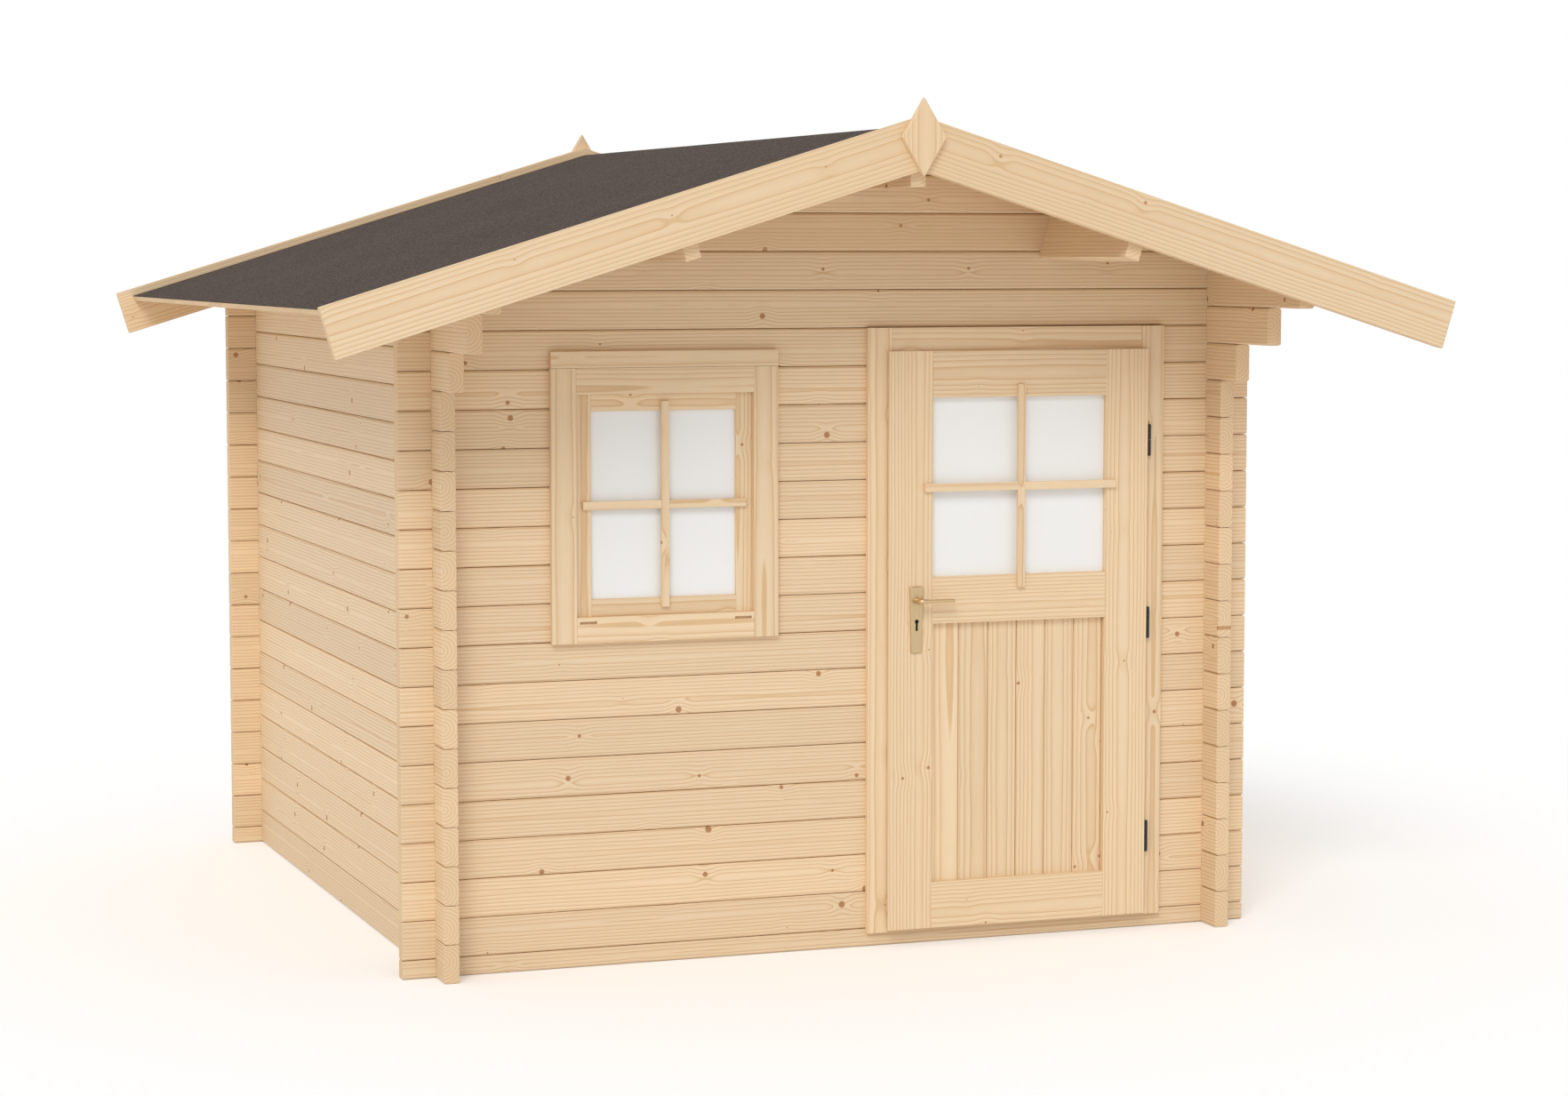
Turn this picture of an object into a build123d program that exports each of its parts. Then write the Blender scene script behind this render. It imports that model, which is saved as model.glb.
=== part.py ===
"""Garden house of interlocking logs, with a gable roof, a half-glazed door and one window.

Millimetres. +Z is up, +X is to the right seen from the front, +Y runs to the rear.
The origin is on the ground, under the middle of the roof.
"""
from build123d import *
from math import ceil, cos, radians, sin, tan
import os

os.makedirs("parts", exist_ok=True)

# Walls: outer size over the wall faces, and the log itself
HOUSE_W = 2500.0
HOUSE_D = 2519.0
LOG_T = 45.0
LOG_PITCH = 113.0
LOG_CHAMFER = 5.0
BASE_LOG_H = 55.0  # sawn log under the front and rear walls, so that the courses interlock
STUB = 98.0  # log end beyond the wall it crosses
NOTCH_PLAY = 0.5
SIDE_COURSES = 17  # whole logs in a side wall, under its bevelled top log
CORBEL_REACHES = (198.0, 398.0)  # the two side logs that step out under the front overhang
TOP_LOG_H = 117.0  # height of the bevelled top log at the outer face

# Roof
ROOF_PITCH = 17.0
DECK_T = 16.0
FELT_T = 2.0
DECK_SLOPE_L = 1723.0  # ridge to eave, along the slope
FRONT_OVERHANG = 598.0
REAR_OVERHANG = 98.0
PURLIN_W = 45.0
PURLIN_H = 145.0
MID_PURLIN_S = 735.0  # ridge to the purlin's centre, along the slope
BARGE_W = 145.0
BARGE_T = 28.0
BARGE_RISE = 24.0  # how far the board stands above the felt
BARGE_OVERRUN = 50.0  # how far it runs past the eave
FINIAL_W = 132.0
FINIAL_H = 217.0
FINIAL_T = 20.0
FINIAL_DROP = 59.0  # from the boards' top apex down to the diamond's centre

# Floor
FLOOR_T = 18.0
FLOOR_GAP = 5.0
BEARER_W = 58.0
BEARER_COUNT = 5

# Frame profile that grips the wall round the door and the window
CASING_W = 76.0
CASING_T = 20.0
JAMB_T = 28.0

# Door
DOOR_X = 564.5
DOOR_CLEAR_W = 820.0
DOOR_HEAD_Z = 1863.0  # top of the head casing
DOOR_FOOT_Z = 43.0  # foot of the side casings
DOOR_HEAD_CASING_W = 84.5
SILL_T = 15.0
LEAF_LAP = 15.0  # how far the leaf laps over the casing
LEAF_GAP = 5.0  # running gap round the leaf
LEAF_T = 40.0
LEAF_LIP_T = 13.0
LEAF_SILL_LAP = 20.0  # how far the lip hangs below the top of the sill
RAIL_W = 140.0
MID_RAIL_Z = 975.5
GLASS_T = 4.0
INFILL_RECESS = 20.0  # from the leaf's face back to its glass and boards
GROOVE_D = 10.0
GROOVE_PLAY = 0.25
GROOVE_END_PLAY = 2.0  # between the bottom of a groove and what sits in it
PANEL_T = 16.0
PANEL_BOARDS = 6
V_GROOVE_W = 5.0
V_GROOVE_D = 3.0
BAR_W = 24.0
BAR_T = 12.0
DOOR_BAR_LAP_X = 30.0
DOOR_BAR_LAP_Z = 38.0

# Hinges: barrels on blades let into the wood, the lower half on the frame, the upper on the leaf
HINGE_R = 6.0
HINGE_H = 98.0
HINGE_ZS = (241.0, 904.0, 1465.0)
HINGE_X_GAP = 1.0  # between the leaf's edge and the barrel
HINGE_Y_GAP = 5.0  # between the casing and the barrel
HINGE_PIN_R = 3.0
HINGE_PIN_PLAY = 0.08
HINGE_PIN_L = 40.0
HINGE_SPLIT = 1.0
HINGE_BLADE_T = 4.0
HINGE_BLADE_H = 30.0
HINGE_BLADE_L = 35.0  # how deep a blade is let into the wood

# Lock plates and lever
PLATE_Z = 889.5
PLATE_H = 200.0
PLATE_TOP_W = 43.0
PLATE_FOOT_W = 33.0
PLATE_T = 7.0
PLATE_INSET = 86.0  # from the leaf's edge to the plate's centre
LEVER_Z = 1047.0
LEVER_L = 110.0
LEVER_H = 11.0
LEVER_D = 18.0
LEVER_EDGE_R = 4.0
LEVER_NECK_R = 9.0
LEVER_NECK_L = 40.0
LEVER_GAP = 1.0
SPINDLE_R = 4.0
SPINDLE_PLAY = 0.3
STILE_BORE_R = 10.0
KEY_Z = 984.0
KEY_R = 6.5
KEY_SLOT_W = 7.0
KEY_SLOT_L = 28.0

# Window
WINDOW_X = -553.5
WINDOW_CLEAR_W = 544.0
WINDOW_CLEAR_H = 646.5
WINDOW_FOOT_Z = 955.0
DRIP_BOARD_H = 49.0
SASH_W = 50.0
SASH_T = 40.0
SASH_RECESS = 12.0
WINDOW_BAR_LAP = 28.0
DRAIN_SLOT_L = 52.0
DRAIN_SLOT_H = 8.0
DRAIN_SLOT_D = 12.0
DRAIN_SLOT_INSET = 8.0
DRAIN_SLOT_DROP = 16.0

# Worked out from the sizes above
SLOPE_COS = cos(radians(ROOF_PITCH))
SLOPE_SIN = sin(radians(ROOF_PITCH))
SLOPE_TAN = tan(radians(ROOF_PITCH))
HALF_W = HOUSE_W / 2
DECK_D = FRONT_OVERHANG + HOUSE_D + REAR_OVERHANG
DECK_FRONT_Y = -DECK_D / 2
DECK_REAR_Y = DECK_D / 2
FRONT_Y = DECK_FRONT_Y + FRONT_OVERHANG
REAR_Y = FRONT_Y + HOUSE_D
WALL_TOP_Z = SIDE_COURSES * LOG_PITCH + TOP_LOG_H
RIDGE_Z = WALL_TOP_Z + HALF_W * SLOPE_TAN  # underside of the roof boards at the ridge
NOTCH_D = LOG_PITCH / 4
FRONT_COURSES = ceil((RIDGE_Z - BASE_LOG_H) / LOG_PITCH)
HEADER_COURSE = round((DOOR_HEAD_Z - BASE_LOG_H) / LOG_PITCH)
OVER = 1.0  # how far a cutter reaches past what it cuts

DOOR_X0 = DOOR_X - DOOR_CLEAR_W / 2
DOOR_X1 = DOOR_X + DOOR_CLEAR_W / 2
DOOR_CLEAR_Z = DOOR_HEAD_Z - DOOR_HEAD_CASING_W
SILL_TOP_Z = BASE_LOG_H + SILL_T
LEAF_X0 = DOOR_X0 - LEAF_LAP
LEAF_X1 = DOOR_X1 + LEAF_LAP
LEAF_Z0 = SILL_TOP_Z - LEAF_SILL_LAP
LEAF_Z1 = DOOR_CLEAR_Z + LEAF_LAP
CORE_X0 = DOOR_X0 + LEAF_GAP
CORE_X1 = DOOR_X1 - LEAF_GAP
CORE_Z0 = SILL_TOP_Z + LEAF_GAP
CORE_Z1 = DOOR_CLEAR_Z - LEAF_GAP
LIP_BACK_Y = FRONT_Y - CASING_T - LEAF_GAP
LEAF_Y = LIP_BACK_Y - LEAF_LIP_T
LEAF_BACK_Y = LEAF_Y + LEAF_T
STILE_X0 = LEAF_X0 + RAIL_W
STILE_X1 = LEAF_X1 - RAIL_W
INFILL_Y = LEAF_Y + INFILL_RECESS
PANEL_Z0 = LEAF_Z0 + RAIL_W
GLASS_Z0 = MID_RAIL_Z + RAIL_W
GLASS_Z1 = LEAF_Z1 - RAIL_W
HINGE_X = LEAF_X1 + HINGE_X_GAP + HINGE_R
HINGE_Y = FRONT_Y - CASING_T - HINGE_Y_GAP - HINGE_R
LEVER_X = LEAF_X0 + PLATE_INSET

WINDOW_X0 = WINDOW_X - WINDOW_CLEAR_W / 2
WINDOW_X1 = WINDOW_X + WINDOW_CLEAR_W / 2
WINDOW_Z0 = WINDOW_FOOT_Z + CASING_W
WINDOW_Z1 = WINDOW_Z0 + WINDOW_CLEAR_H
WINDOW_HEAD_Z = WINDOW_Z1 + CASING_W
SASH_GLASS_X0 = WINDOW_X0 + SASH_W
SASH_GLASS_X1 = WINDOW_X1 - SASH_W
SASH_GLASS_Z0 = WINDOW_Z0 + SASH_W
SASH_GLASS_Z1 = WINDOW_Z1 - SASH_W
SASH_GLASS_Y = FRONT_Y + SASH_RECESS


def side_course(course):
    """Foot and top of a log in a side wall."""
    return course * LOG_PITCH, (course + 1) * LOG_PITCH


def front_course(course):
    """Foot and top of a log in the front or rear wall, half a log out of step."""
    if course == 0:
        return 0.0, BASE_LOG_H
    return BASE_LOG_H + (course - 1) * LOG_PITCH, BASE_LOG_H + course * LOG_PITCH


def block(x, y, z, mode=Mode.ADD):
    """A rectangular block between pairs of low and high coordinates, in the sub-part in hand."""
    with Locations(((x[0] + x[1]) / 2, (y[0] + y[1]) / 2, (z[0] + z[1]) / 2)):
        Box(x[1] - x[0], y[1] - y[0], z[1] - z[0], mode=mode)


def prism_along_y(points, y0, y1, mode=Mode.ADD):
    """A closed outline of (x, z) points carried along Y from y0 to y1."""
    with BuildSketch(Plane.XZ.offset(-y0)) as outline:
        with BuildLine():
            Polyline(*points, close=True)
        make_face()
    extrude(outline.sketch, amount=y0 - y1, mode=mode)


def prism_along_x(points, x0, x1, mode=Mode.ADD):
    """A closed outline of (y, z) points carried along X from x0 to x1."""
    with BuildSketch(Plane.YZ.offset(x0)) as outline:
        with BuildLine():
            Polyline(*points, close=True)
        make_face()
    extrude(outline.sketch, amount=x1 - x0, mode=mode)


def prism_along_z(points, z0, z1, mode=Mode.ADD):
    """A closed outline of (x, y) points carried up from z0 to z1."""
    with BuildSketch(Plane.XY.offset(z0)) as outline:
        with BuildLine():
            Polyline(*points, close=True)
        make_face()
    extrude(outline.sketch, amount=z1 - z0, mode=mode)


def rod(centre, radius, length, axis, mode=Mode.ADD):
    """A round rod that starts at centre and runs along axis."""
    with BuildSketch(Plane(origin=centre, z_dir=axis)) as disc:
        Circle(radius)
    extrude(disc.sketch, amount=length, mode=mode)


def on_slope(side, along, above):
    """(x, z) of a point on one roof slope: along from the ridge, above the boards' underside."""
    return (side * (along * SLOPE_COS + above * SLOPE_SIN),
            RIDGE_Z - along * SLOPE_SIN + above * SLOPE_COS)


def slope_band(side, low, high, end):
    """Outline of a layer of one slope, plumb at the ridge and square at its lower end."""
    return [on_slope(side, -low * SLOPE_TAN, low), on_slope(side, end, low),
            on_slope(side, end, high), on_slope(side, -high * SLOPE_TAN, high)]


def cut_to_roof():
    """Take away what would stand above the underside of the roof boards."""
    reach = HALF_W + 2 * STUB
    edge_z = RIDGE_Z - reach * SLOPE_TAN
    above = RIDGE_Z + LOG_PITCH * 2
    points = [(-reach, edge_z), (0, RIDGE_Z), (reach, edge_z), (reach, above), (-reach, above)]
    prism_along_y(points, DECK_FRONT_Y - OVER, DECK_REAR_Y + OVER, Mode.SUBTRACT)


def ridge_purlin_outline():
    """Ridge purlin, with its top planed to both slopes."""
    half = PURLIN_W / 2
    shoulder = RIDGE_Z - half * SLOPE_TAN
    foot = shoulder - PURLIN_H
    return [(-half, foot), (half, foot), (half, shoulder), (0, RIDGE_Z), (-half, shoulder)]


def mid_purlin_outline(side):
    """Purlin half way down a slope, square to the boards."""
    near = MID_PURLIN_S - PURLIN_W / 2
    far = MID_PURLIN_S + PURLIN_W / 2
    return [on_slope(side, near, -PURLIN_H), on_slope(side, far, -PURLIN_H),
            on_slope(side, far, 0), on_slope(side, near, 0)]


def cut_purlin_pockets():
    """Pockets in a gable for the three purlins."""
    for points in (ridge_purlin_outline(), mid_purlin_outline(-1), mid_purlin_outline(1)):
        prism_along_y(points, FRONT_Y - STUB, REAR_Y + STUB, Mode.SUBTRACT)


def blocks(size, spots, mode=Mode.ADD):
    """Equal rectangular blocks centred on several spots, in the sub-part in hand."""
    if spots:
        with Locations(*spots):
            Box(*size, mode=mode)


def logs_along_x(courses, face_y):
    """Logs of the front or rear wall, from stub end to stub end, notched where walls cross."""
    middle_y = face_y + LOG_T / 2
    for height in sorted({front_course(c)[1] - front_course(c)[0] for c in courses}):
        like = [c for c in courses if front_course(c)[1] - front_course(c)[0] == height]
        with BuildSketch(Plane.YZ.offset(-HALF_W - STUB)) as section:
            with Locations(*[(middle_y, sum(front_course(c)) / 2) for c in like]):
                Rectangle(LOG_T, height)
            chamfer(section.vertices(), LOG_CHAMFER)
        extrude(section.sketch, amount=HOUSE_W + 2 * STUB)
    walls = (-HALF_W + LOG_T / 2, HALF_W - LOG_T / 2)
    notch_x, notch_y = LOG_T + 2 * NOTCH_PLAY, LOG_T + 2 * OVER
    lower = LOG_PITCH - BASE_LOG_H - NOTCH_D
    upper = BASE_LOG_H - NOTCH_D
    feet = [front_course(c)[0] for c in courses if 0 < c <= SIDE_COURSES + 1]
    tops = [front_course(c)[1] for c in courses if c <= SIDE_COURSES]
    blocks((notch_x, notch_y, lower + OVER),
           [(x, middle_y, foot + (lower - OVER) / 2) for x in walls for foot in feet],
           Mode.SUBTRACT)
    blocks((notch_x, notch_y, upper + OVER),
           [(x, middle_y, top - (upper - OVER) / 2) for x in walls for top in tops],
           Mode.SUBTRACT)


def logs_along_y(courses, side):
    """Logs of a side wall, notched over and under the front and rear logs."""
    wall_x = side * (HALF_W - LOG_T / 2)
    reaches = {SIDE_COURSES - 2: CORBEL_REACHES[0], SIDE_COURSES - 1: CORBEL_REACHES[1],
               SIDE_COURSES: FRONT_OVERHANG}
    for reach in sorted({reaches.get(c, STUB) for c in courses}):
        like = [c for c in courses if reaches.get(c, STUB) == reach]
        with BuildSketch(Plane.XZ.offset(reach - FRONT_Y)) as section:
            for course in like:
                foot, top = side_course(course)
                if course == SIDE_COURSES:
                    top = WALL_TOP_Z + LOG_T * SLOPE_TAN + 2 * LOG_CHAMFER
                with Locations((wall_x, (foot + top) / 2)):
                    Rectangle(LOG_T, top - foot)
            chamfer(section.vertices(), LOG_CHAMFER)
        extrude(section.sketch, amount=-(reach + HOUSE_D + STUB))
    walls = (FRONT_Y + LOG_T / 2, REAR_Y - LOG_T / 2)
    notch_x, notch_y = LOG_T + 2 * OVER, LOG_T + 2 * NOTCH_PLAY
    blocks((notch_x, notch_y, NOTCH_D + OVER),
           [(wall_x, y, side_course(c)[0] + (NOTCH_D - OVER) / 2) for y in walls for c in courses],
           Mode.SUBTRACT)
    blocks((notch_x, notch_y, NOTCH_D + LOG_T),
           [(wall_x, y, side_course(c)[1] + (LOG_T - NOTCH_D) / 2) for y in walls for c in courses],
           Mode.SUBTRACT)
    cut_to_roof()


def cut_front_openings():
    """Holes that the door frame and the window frame fill."""
    y = (FRONT_Y - OVER, FRONT_Y + LOG_T + OVER)
    door_x = (DOOR_X0 - JAMB_T, DOOR_X1 + JAMB_T)
    block(door_x, y, (BASE_LOG_H, DOOR_CLEAR_Z + JAMB_T), Mode.SUBTRACT)
    window_x = (WINDOW_X0 - JAMB_T, WINDOW_X1 + JAMB_T)
    block(window_x, y, (WINDOW_Z0 - JAMB_T, WINDOW_Z1 + JAMB_T), Mode.SUBTRACT)


def keep_side_of_door(side):
    """Keep only what stands left (-1) or right (+1) of the doorway."""
    far = HALF_W + 2 * STUB
    x = (DOOR_X, far) if side < 0 else (-far, DOOR_X)
    block(x, (FRONT_Y - OVER, FRONT_Y + LOG_T + OVER), (-OVER, RIDGE_Z), Mode.SUBTRACT)


def frame_profile(wall_edge, clear_edge):
    """Outline (across, y) of a frame member: two casings on a jamb, gripping the wall."""
    away = 1 if clear_edge < wall_edge else -1
    casing_edge = clear_edge + away * CASING_W
    front, back = FRONT_Y - CASING_T, FRONT_Y + LOG_T + CASING_T
    return [(clear_edge, front), (casing_edge, front), (casing_edge, FRONT_Y),
            (wall_edge, FRONT_Y), (wall_edge, FRONT_Y + LOG_T), (casing_edge, FRONT_Y + LOG_T),
            (casing_edge, back), (clear_edge, back)]


def frame_blade(z):
    """x, y and z of the blade that carries a hinge's lower half, from its pin into the casing."""
    middle = z + HINGE_H / 4
    return ((HINGE_X - HINGE_BLADE_T / 2, HINGE_X + HINGE_BLADE_T / 2),
            (HINGE_Y, FRONT_Y - CASING_T + HINGE_BLADE_L),
            (middle - HINGE_BLADE_H / 2, middle + HINGE_BLADE_H / 2))


def leaf_blade(z):
    """x, y and z of the blade that carries a hinge's upper half, from its pin into the stile."""
    middle = z + HINGE_H * 3 / 4
    return ((LEAF_X1 - HINGE_BLADE_L, HINGE_X),
            (HINGE_Y - HINGE_BLADE_T / 2, HINGE_Y + HINGE_BLADE_T / 2),
            (middle - HINGE_BLADE_H / 2, middle + HINGE_BLADE_H / 2))


def save(piece, label):
    """Name a finished sub-part and write it."""
    piece.part.label = label
    export_step(piece.part, f"parts/{label}.step")


# Front wall: the base log, the logs each side of the doorway, the log over it, the gable
with BuildPart() as front_base_log:
    logs_along_x([0], FRONT_Y)
save(front_base_log, "front_base_log")

for start, parity in ((1, "odd"), (2, "even")):
    for side, place in ((-1, "left"), (1, "right")):
        with BuildPart() as front_wall:
            logs_along_x(list(range(start, HEADER_COURSE, 2)), FRONT_Y)
            cut_front_openings()
            keep_side_of_door(side)
        save(front_wall, f"front_wall_{place}_{parity}")

with BuildPart() as front_header_log:
    logs_along_x([HEADER_COURSE], FRONT_Y)
    cut_front_openings()
save(front_header_log, "front_header_log")

for start in (HEADER_COURSE + 1, HEADER_COURSE + 2):
    parity = "odd" if start % 2 else "even"
    with BuildPart() as front_gable:
        logs_along_x(list(range(start, FRONT_COURSES + 1, 2)), FRONT_Y)
        cut_to_roof()
        cut_purlin_pockets()
    save(front_gable, f"front_gable_{parity}")

# Rear wall, with its gable
for start, parity in ((0, "even"), (1, "odd")):
    with BuildPart() as rear_wall:
        logs_along_x(list(range(start, FRONT_COURSES + 1, 2)), REAR_Y - LOG_T)
        cut_to_roof()
        cut_purlin_pockets()
    save(rear_wall, f"rear_wall_{parity}")

# Side walls
for side, place in ((-1, "left"), (1, "right")):
    for start, parity in ((0, "even"), (1, "odd")):
        with BuildPart() as side_wall:
            logs_along_y(list(range(start, SIDE_COURSES + 1, 2)), side)
        save(side_wall, f"{place}_wall_{parity}")

# Roof
with BuildPart() as ridge_purlin:
    prism_along_y(ridge_purlin_outline(), DECK_FRONT_Y, DECK_REAR_Y)
save(ridge_purlin, "ridge_purlin")

with BuildPart() as mid_purlins:
    for side in (-1, 1):
        prism_along_y(mid_purlin_outline(side), DECK_FRONT_Y, DECK_REAR_Y)
save(mid_purlins, "mid_purlins")

for side, place in ((-1, "left"), (1, "right")):
    with BuildPart() as roof_boards:
        prism_along_y(slope_band(side, 0, DECK_T, DECK_SLOPE_L), DECK_FRONT_Y, DECK_REAR_Y)
    save(roof_boards, f"roof_boards_{place}")

    with BuildPart() as roof_felt:
        prism_along_y(slope_band(side, DECK_T, DECK_T + FELT_T, DECK_SLOPE_L),
                      DECK_FRONT_Y, DECK_REAR_Y)
    save(roof_felt, f"roof_felt_{place}")

    barge_top = DECK_T + FELT_T + BARGE_RISE
    with BuildPart() as barge_boards:
        outline = slope_band(side, barge_top - BARGE_W, barge_top, DECK_SLOPE_L + BARGE_OVERRUN)
        prism_along_y(outline, DECK_FRONT_Y - BARGE_T, DECK_FRONT_Y)
        prism_along_y(outline, DECK_REAR_Y, DECK_REAR_Y + BARGE_T)
    save(barge_boards, f"barge_boards_{place}")

with BuildPart() as finials:
    middle = RIDGE_Z + barge_top / SLOPE_COS - FINIAL_DROP
    diamond = [(0, middle + FINIAL_H / 2), (FINIAL_W / 2, middle),
               (0, middle - FINIAL_H / 2), (-FINIAL_W / 2, middle)]
    prism_along_y(diamond, DECK_FRONT_Y - BARGE_T - FINIAL_T, DECK_FRONT_Y - BARGE_T)
    prism_along_y(diamond, DECK_REAR_Y + BARGE_T, DECK_REAR_Y + BARGE_T + FINIAL_T)
save(finials, "finials")

# Floor, level with the top of the base log
floor_x = (-HALF_W + LOG_T + FLOOR_GAP, HALF_W - LOG_T - FLOOR_GAP)
floor_y = (FRONT_Y + LOG_T + FLOOR_GAP, REAR_Y - LOG_T - FLOOR_GAP)
with BuildPart() as floor_bearers:
    pitch = (floor_y[1] - floor_y[0] - BEARER_W) / (BEARER_COUNT - 1)
    for i in range(BEARER_COUNT):
        foot_y = floor_y[0] + i * pitch
        block(floor_x, (foot_y, foot_y + BEARER_W), (0, BASE_LOG_H - FLOOR_T))
save(floor_bearers, "floor_bearers")

with BuildPart() as floor_boards:
    block(floor_x, floor_y, (BASE_LOG_H - FLOOR_T, BASE_LOG_H))
save(floor_boards, "floor_boards")

# Door frame
with BuildPart() as door_frame_posts:
    for wall_edge, clear_edge in ((DOOR_X0 - JAMB_T, DOOR_X0), (DOOR_X1 + JAMB_T, DOOR_X1)):
        prism_along_z(frame_profile(wall_edge, clear_edge), BASE_LOG_H, DOOR_HEAD_Z)
        away = 1 if wall_edge > clear_edge else -1
        x = sorted((clear_edge, clear_edge + away * CASING_W))
        block(x, (FRONT_Y - CASING_T, FRONT_Y), (DOOR_FOOT_Z, BASE_LOG_H))
    block((DOOR_X0 - JAMB_T, DOOR_X1 + JAMB_T), (FRONT_Y, FRONT_Y + LOG_T),
          (DOOR_CLEAR_Z + JAMB_T, DOOR_HEAD_Z), Mode.SUBTRACT)
    for z in HINGE_ZS:
        block(*frame_blade(z), Mode.SUBTRACT)
save(door_frame_posts, "door_frame_posts")

with BuildPart() as door_frame_head:
    front, back = FRONT_Y - CASING_T, FRONT_Y + LOG_T + CASING_T
    jamb_z = DOOR_CLEAR_Z + JAMB_T
    outline = [(front, DOOR_CLEAR_Z), (back, DOOR_CLEAR_Z), (back, DOOR_HEAD_Z),
               (FRONT_Y + LOG_T, DOOR_HEAD_Z), (FRONT_Y + LOG_T, jamb_z), (FRONT_Y, jamb_z),
               (FRONT_Y, DOOR_HEAD_Z), (front, DOOR_HEAD_Z)]
    prism_along_x(outline, DOOR_X0, DOOR_X1)
save(door_frame_head, "door_frame_head")

with BuildPart() as door_sill:
    outline = [(front, DOOR_FOOT_Z), (FRONT_Y, DOOR_FOOT_Z), (FRONT_Y, BASE_LOG_H),
               (back, BASE_LOG_H), (back, SILL_TOP_Z), (front, SILL_TOP_Z)]
    prism_along_x(outline, DOOR_X0, DOOR_X1)
save(door_sill, "door_sill")

# Door leaf: stiles and rails with a lip in front of the casing and a core in the frame
glass_y = (INFILL_Y - GROOVE_PLAY, INFILL_Y + GLASS_T + GROOVE_PLAY)
panel_y = (INFILL_Y - GROOVE_PLAY, INFILL_Y + PANEL_T + GROOVE_PLAY)
with BuildPart() as door_stiles:
    for edge, core, inner in ((LEAF_X0, CORE_X0, STILE_X0), (LEAF_X1, CORE_X1, STILE_X1)):
        block(sorted((edge, inner)), (LEAF_Y, LIP_BACK_Y), (LEAF_Z0, LEAF_Z1))
        block(sorted((core, inner)), (LIP_BACK_Y, LEAF_BACK_Y), (CORE_Z0, CORE_Z1))
        groove = inner + (GROOVE_D if core > inner else -GROOVE_D)
        groove_x = sorted((inner, groove))
        block(groove_x, glass_y, (GLASS_Z0 - GROOVE_D, GLASS_Z1 + GROOVE_D), Mode.SUBTRACT)
        block(groove_x, panel_y, (PANEL_Z0 - GROOVE_D, MID_RAIL_Z + GROOVE_D), Mode.SUBTRACT)
    rod((LEVER_X, LEAF_Y - OVER, LEVER_Z), STILE_BORE_R, LEAF_T + 2 * OVER, (0, 1, 0),
        Mode.SUBTRACT)
    for z in HINGE_ZS:
        block(*leaf_blade(z), Mode.SUBTRACT)
save(door_stiles, "door_stiles")

with BuildPart() as door_rails:
    rail_x = (STILE_X0, STILE_X1)
    block(rail_x, (LEAF_Y, LIP_BACK_Y), (LEAF_Z0, PANEL_Z0))
    block(rail_x, (LIP_BACK_Y, LEAF_BACK_Y), (CORE_Z0, PANEL_Z0))
    block(rail_x, (LEAF_Y, LEAF_BACK_Y), (MID_RAIL_Z, GLASS_Z0))
    block(rail_x, (LEAF_Y, LIP_BACK_Y), (GLASS_Z1, LEAF_Z1))
    block(rail_x, (LIP_BACK_Y, LEAF_BACK_Y), (GLASS_Z1, CORE_Z1))
    block(rail_x, glass_y, (GLASS_Z0 - GROOVE_D, GLASS_Z0), Mode.SUBTRACT)
    block(rail_x, glass_y, (GLASS_Z1, GLASS_Z1 + GROOVE_D), Mode.SUBTRACT)
    block(rail_x, panel_y, (PANEL_Z0 - GROOVE_D, PANEL_Z0), Mode.SUBTRACT)
    block(rail_x, panel_y, (MID_RAIL_Z, MID_RAIL_Z + GROOVE_D), Mode.SUBTRACT)
save(door_rails, "door_rails")

with BuildPart() as door_glass:
    side_lap = GROOVE_D - GROOVE_END_PLAY
    block((STILE_X0 - side_lap, STILE_X1 + side_lap), (INFILL_Y, INFILL_Y + GLASS_T),
          (GLASS_Z0 - GROOVE_D, GLASS_Z1 + side_lap))
save(door_glass, "door_glass")

with BuildPart() as door_panel:
    block((STILE_X0 - side_lap, STILE_X1 + side_lap), (INFILL_Y, INFILL_Y + PANEL_T),
          (PANEL_Z0 - GROOVE_D, MID_RAIL_Z + side_lap))
    board_w = (STILE_X1 - STILE_X0) / PANEL_BOARDS
    for i in range(1, PANEL_BOARDS):
        joint = STILE_X0 + i * board_w
        for face_y, into in ((INFILL_Y, 1), (INFILL_Y + PANEL_T, -1)):
            vee = [(joint - V_GROOVE_W / 2, face_y), (joint + V_GROOVE_W / 2, face_y),
                   (joint, face_y + into * V_GROOVE_D)]
            prism_along_z(vee, PANEL_Z0 - GROOVE_D, MID_RAIL_Z + side_lap, Mode.SUBTRACT)
save(door_panel, "door_panel")

with BuildPart() as door_glazing_bars:
    bar_y = (LEAF_Y - BAR_T, LEAF_Y)
    bar_z = (GLASS_Z0 + GLASS_Z1) / 2
    block((DOOR_X - BAR_W / 2, DOOR_X + BAR_W / 2), bar_y,
          (GLASS_Z0 - DOOR_BAR_LAP_Z, GLASS_Z1 + DOOR_BAR_LAP_Z))
    block((STILE_X0 - DOOR_BAR_LAP_X, STILE_X1 + DOOR_BAR_LAP_X), bar_y,
          (bar_z - BAR_W / 2, bar_z + BAR_W / 2))
save(door_glazing_bars, "door_glazing_bars")

# Hinges
with BuildPart() as hinge_frame_barrels:
    for z in HINGE_ZS:
        rod((HINGE_X, HINGE_Y, z), HINGE_R, (HINGE_H - HINGE_SPLIT) / 2, (0, 0, 1))
        rod((HINGE_X, HINGE_Y, z + HINGE_H / 2 - HINGE_SPLIT), HINGE_PIN_R,
            HINGE_PIN_L + HINGE_SPLIT, (0, 0, 1))
        block(*frame_blade(z))
save(hinge_frame_barrels, "hinge_frame_barrels")

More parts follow.
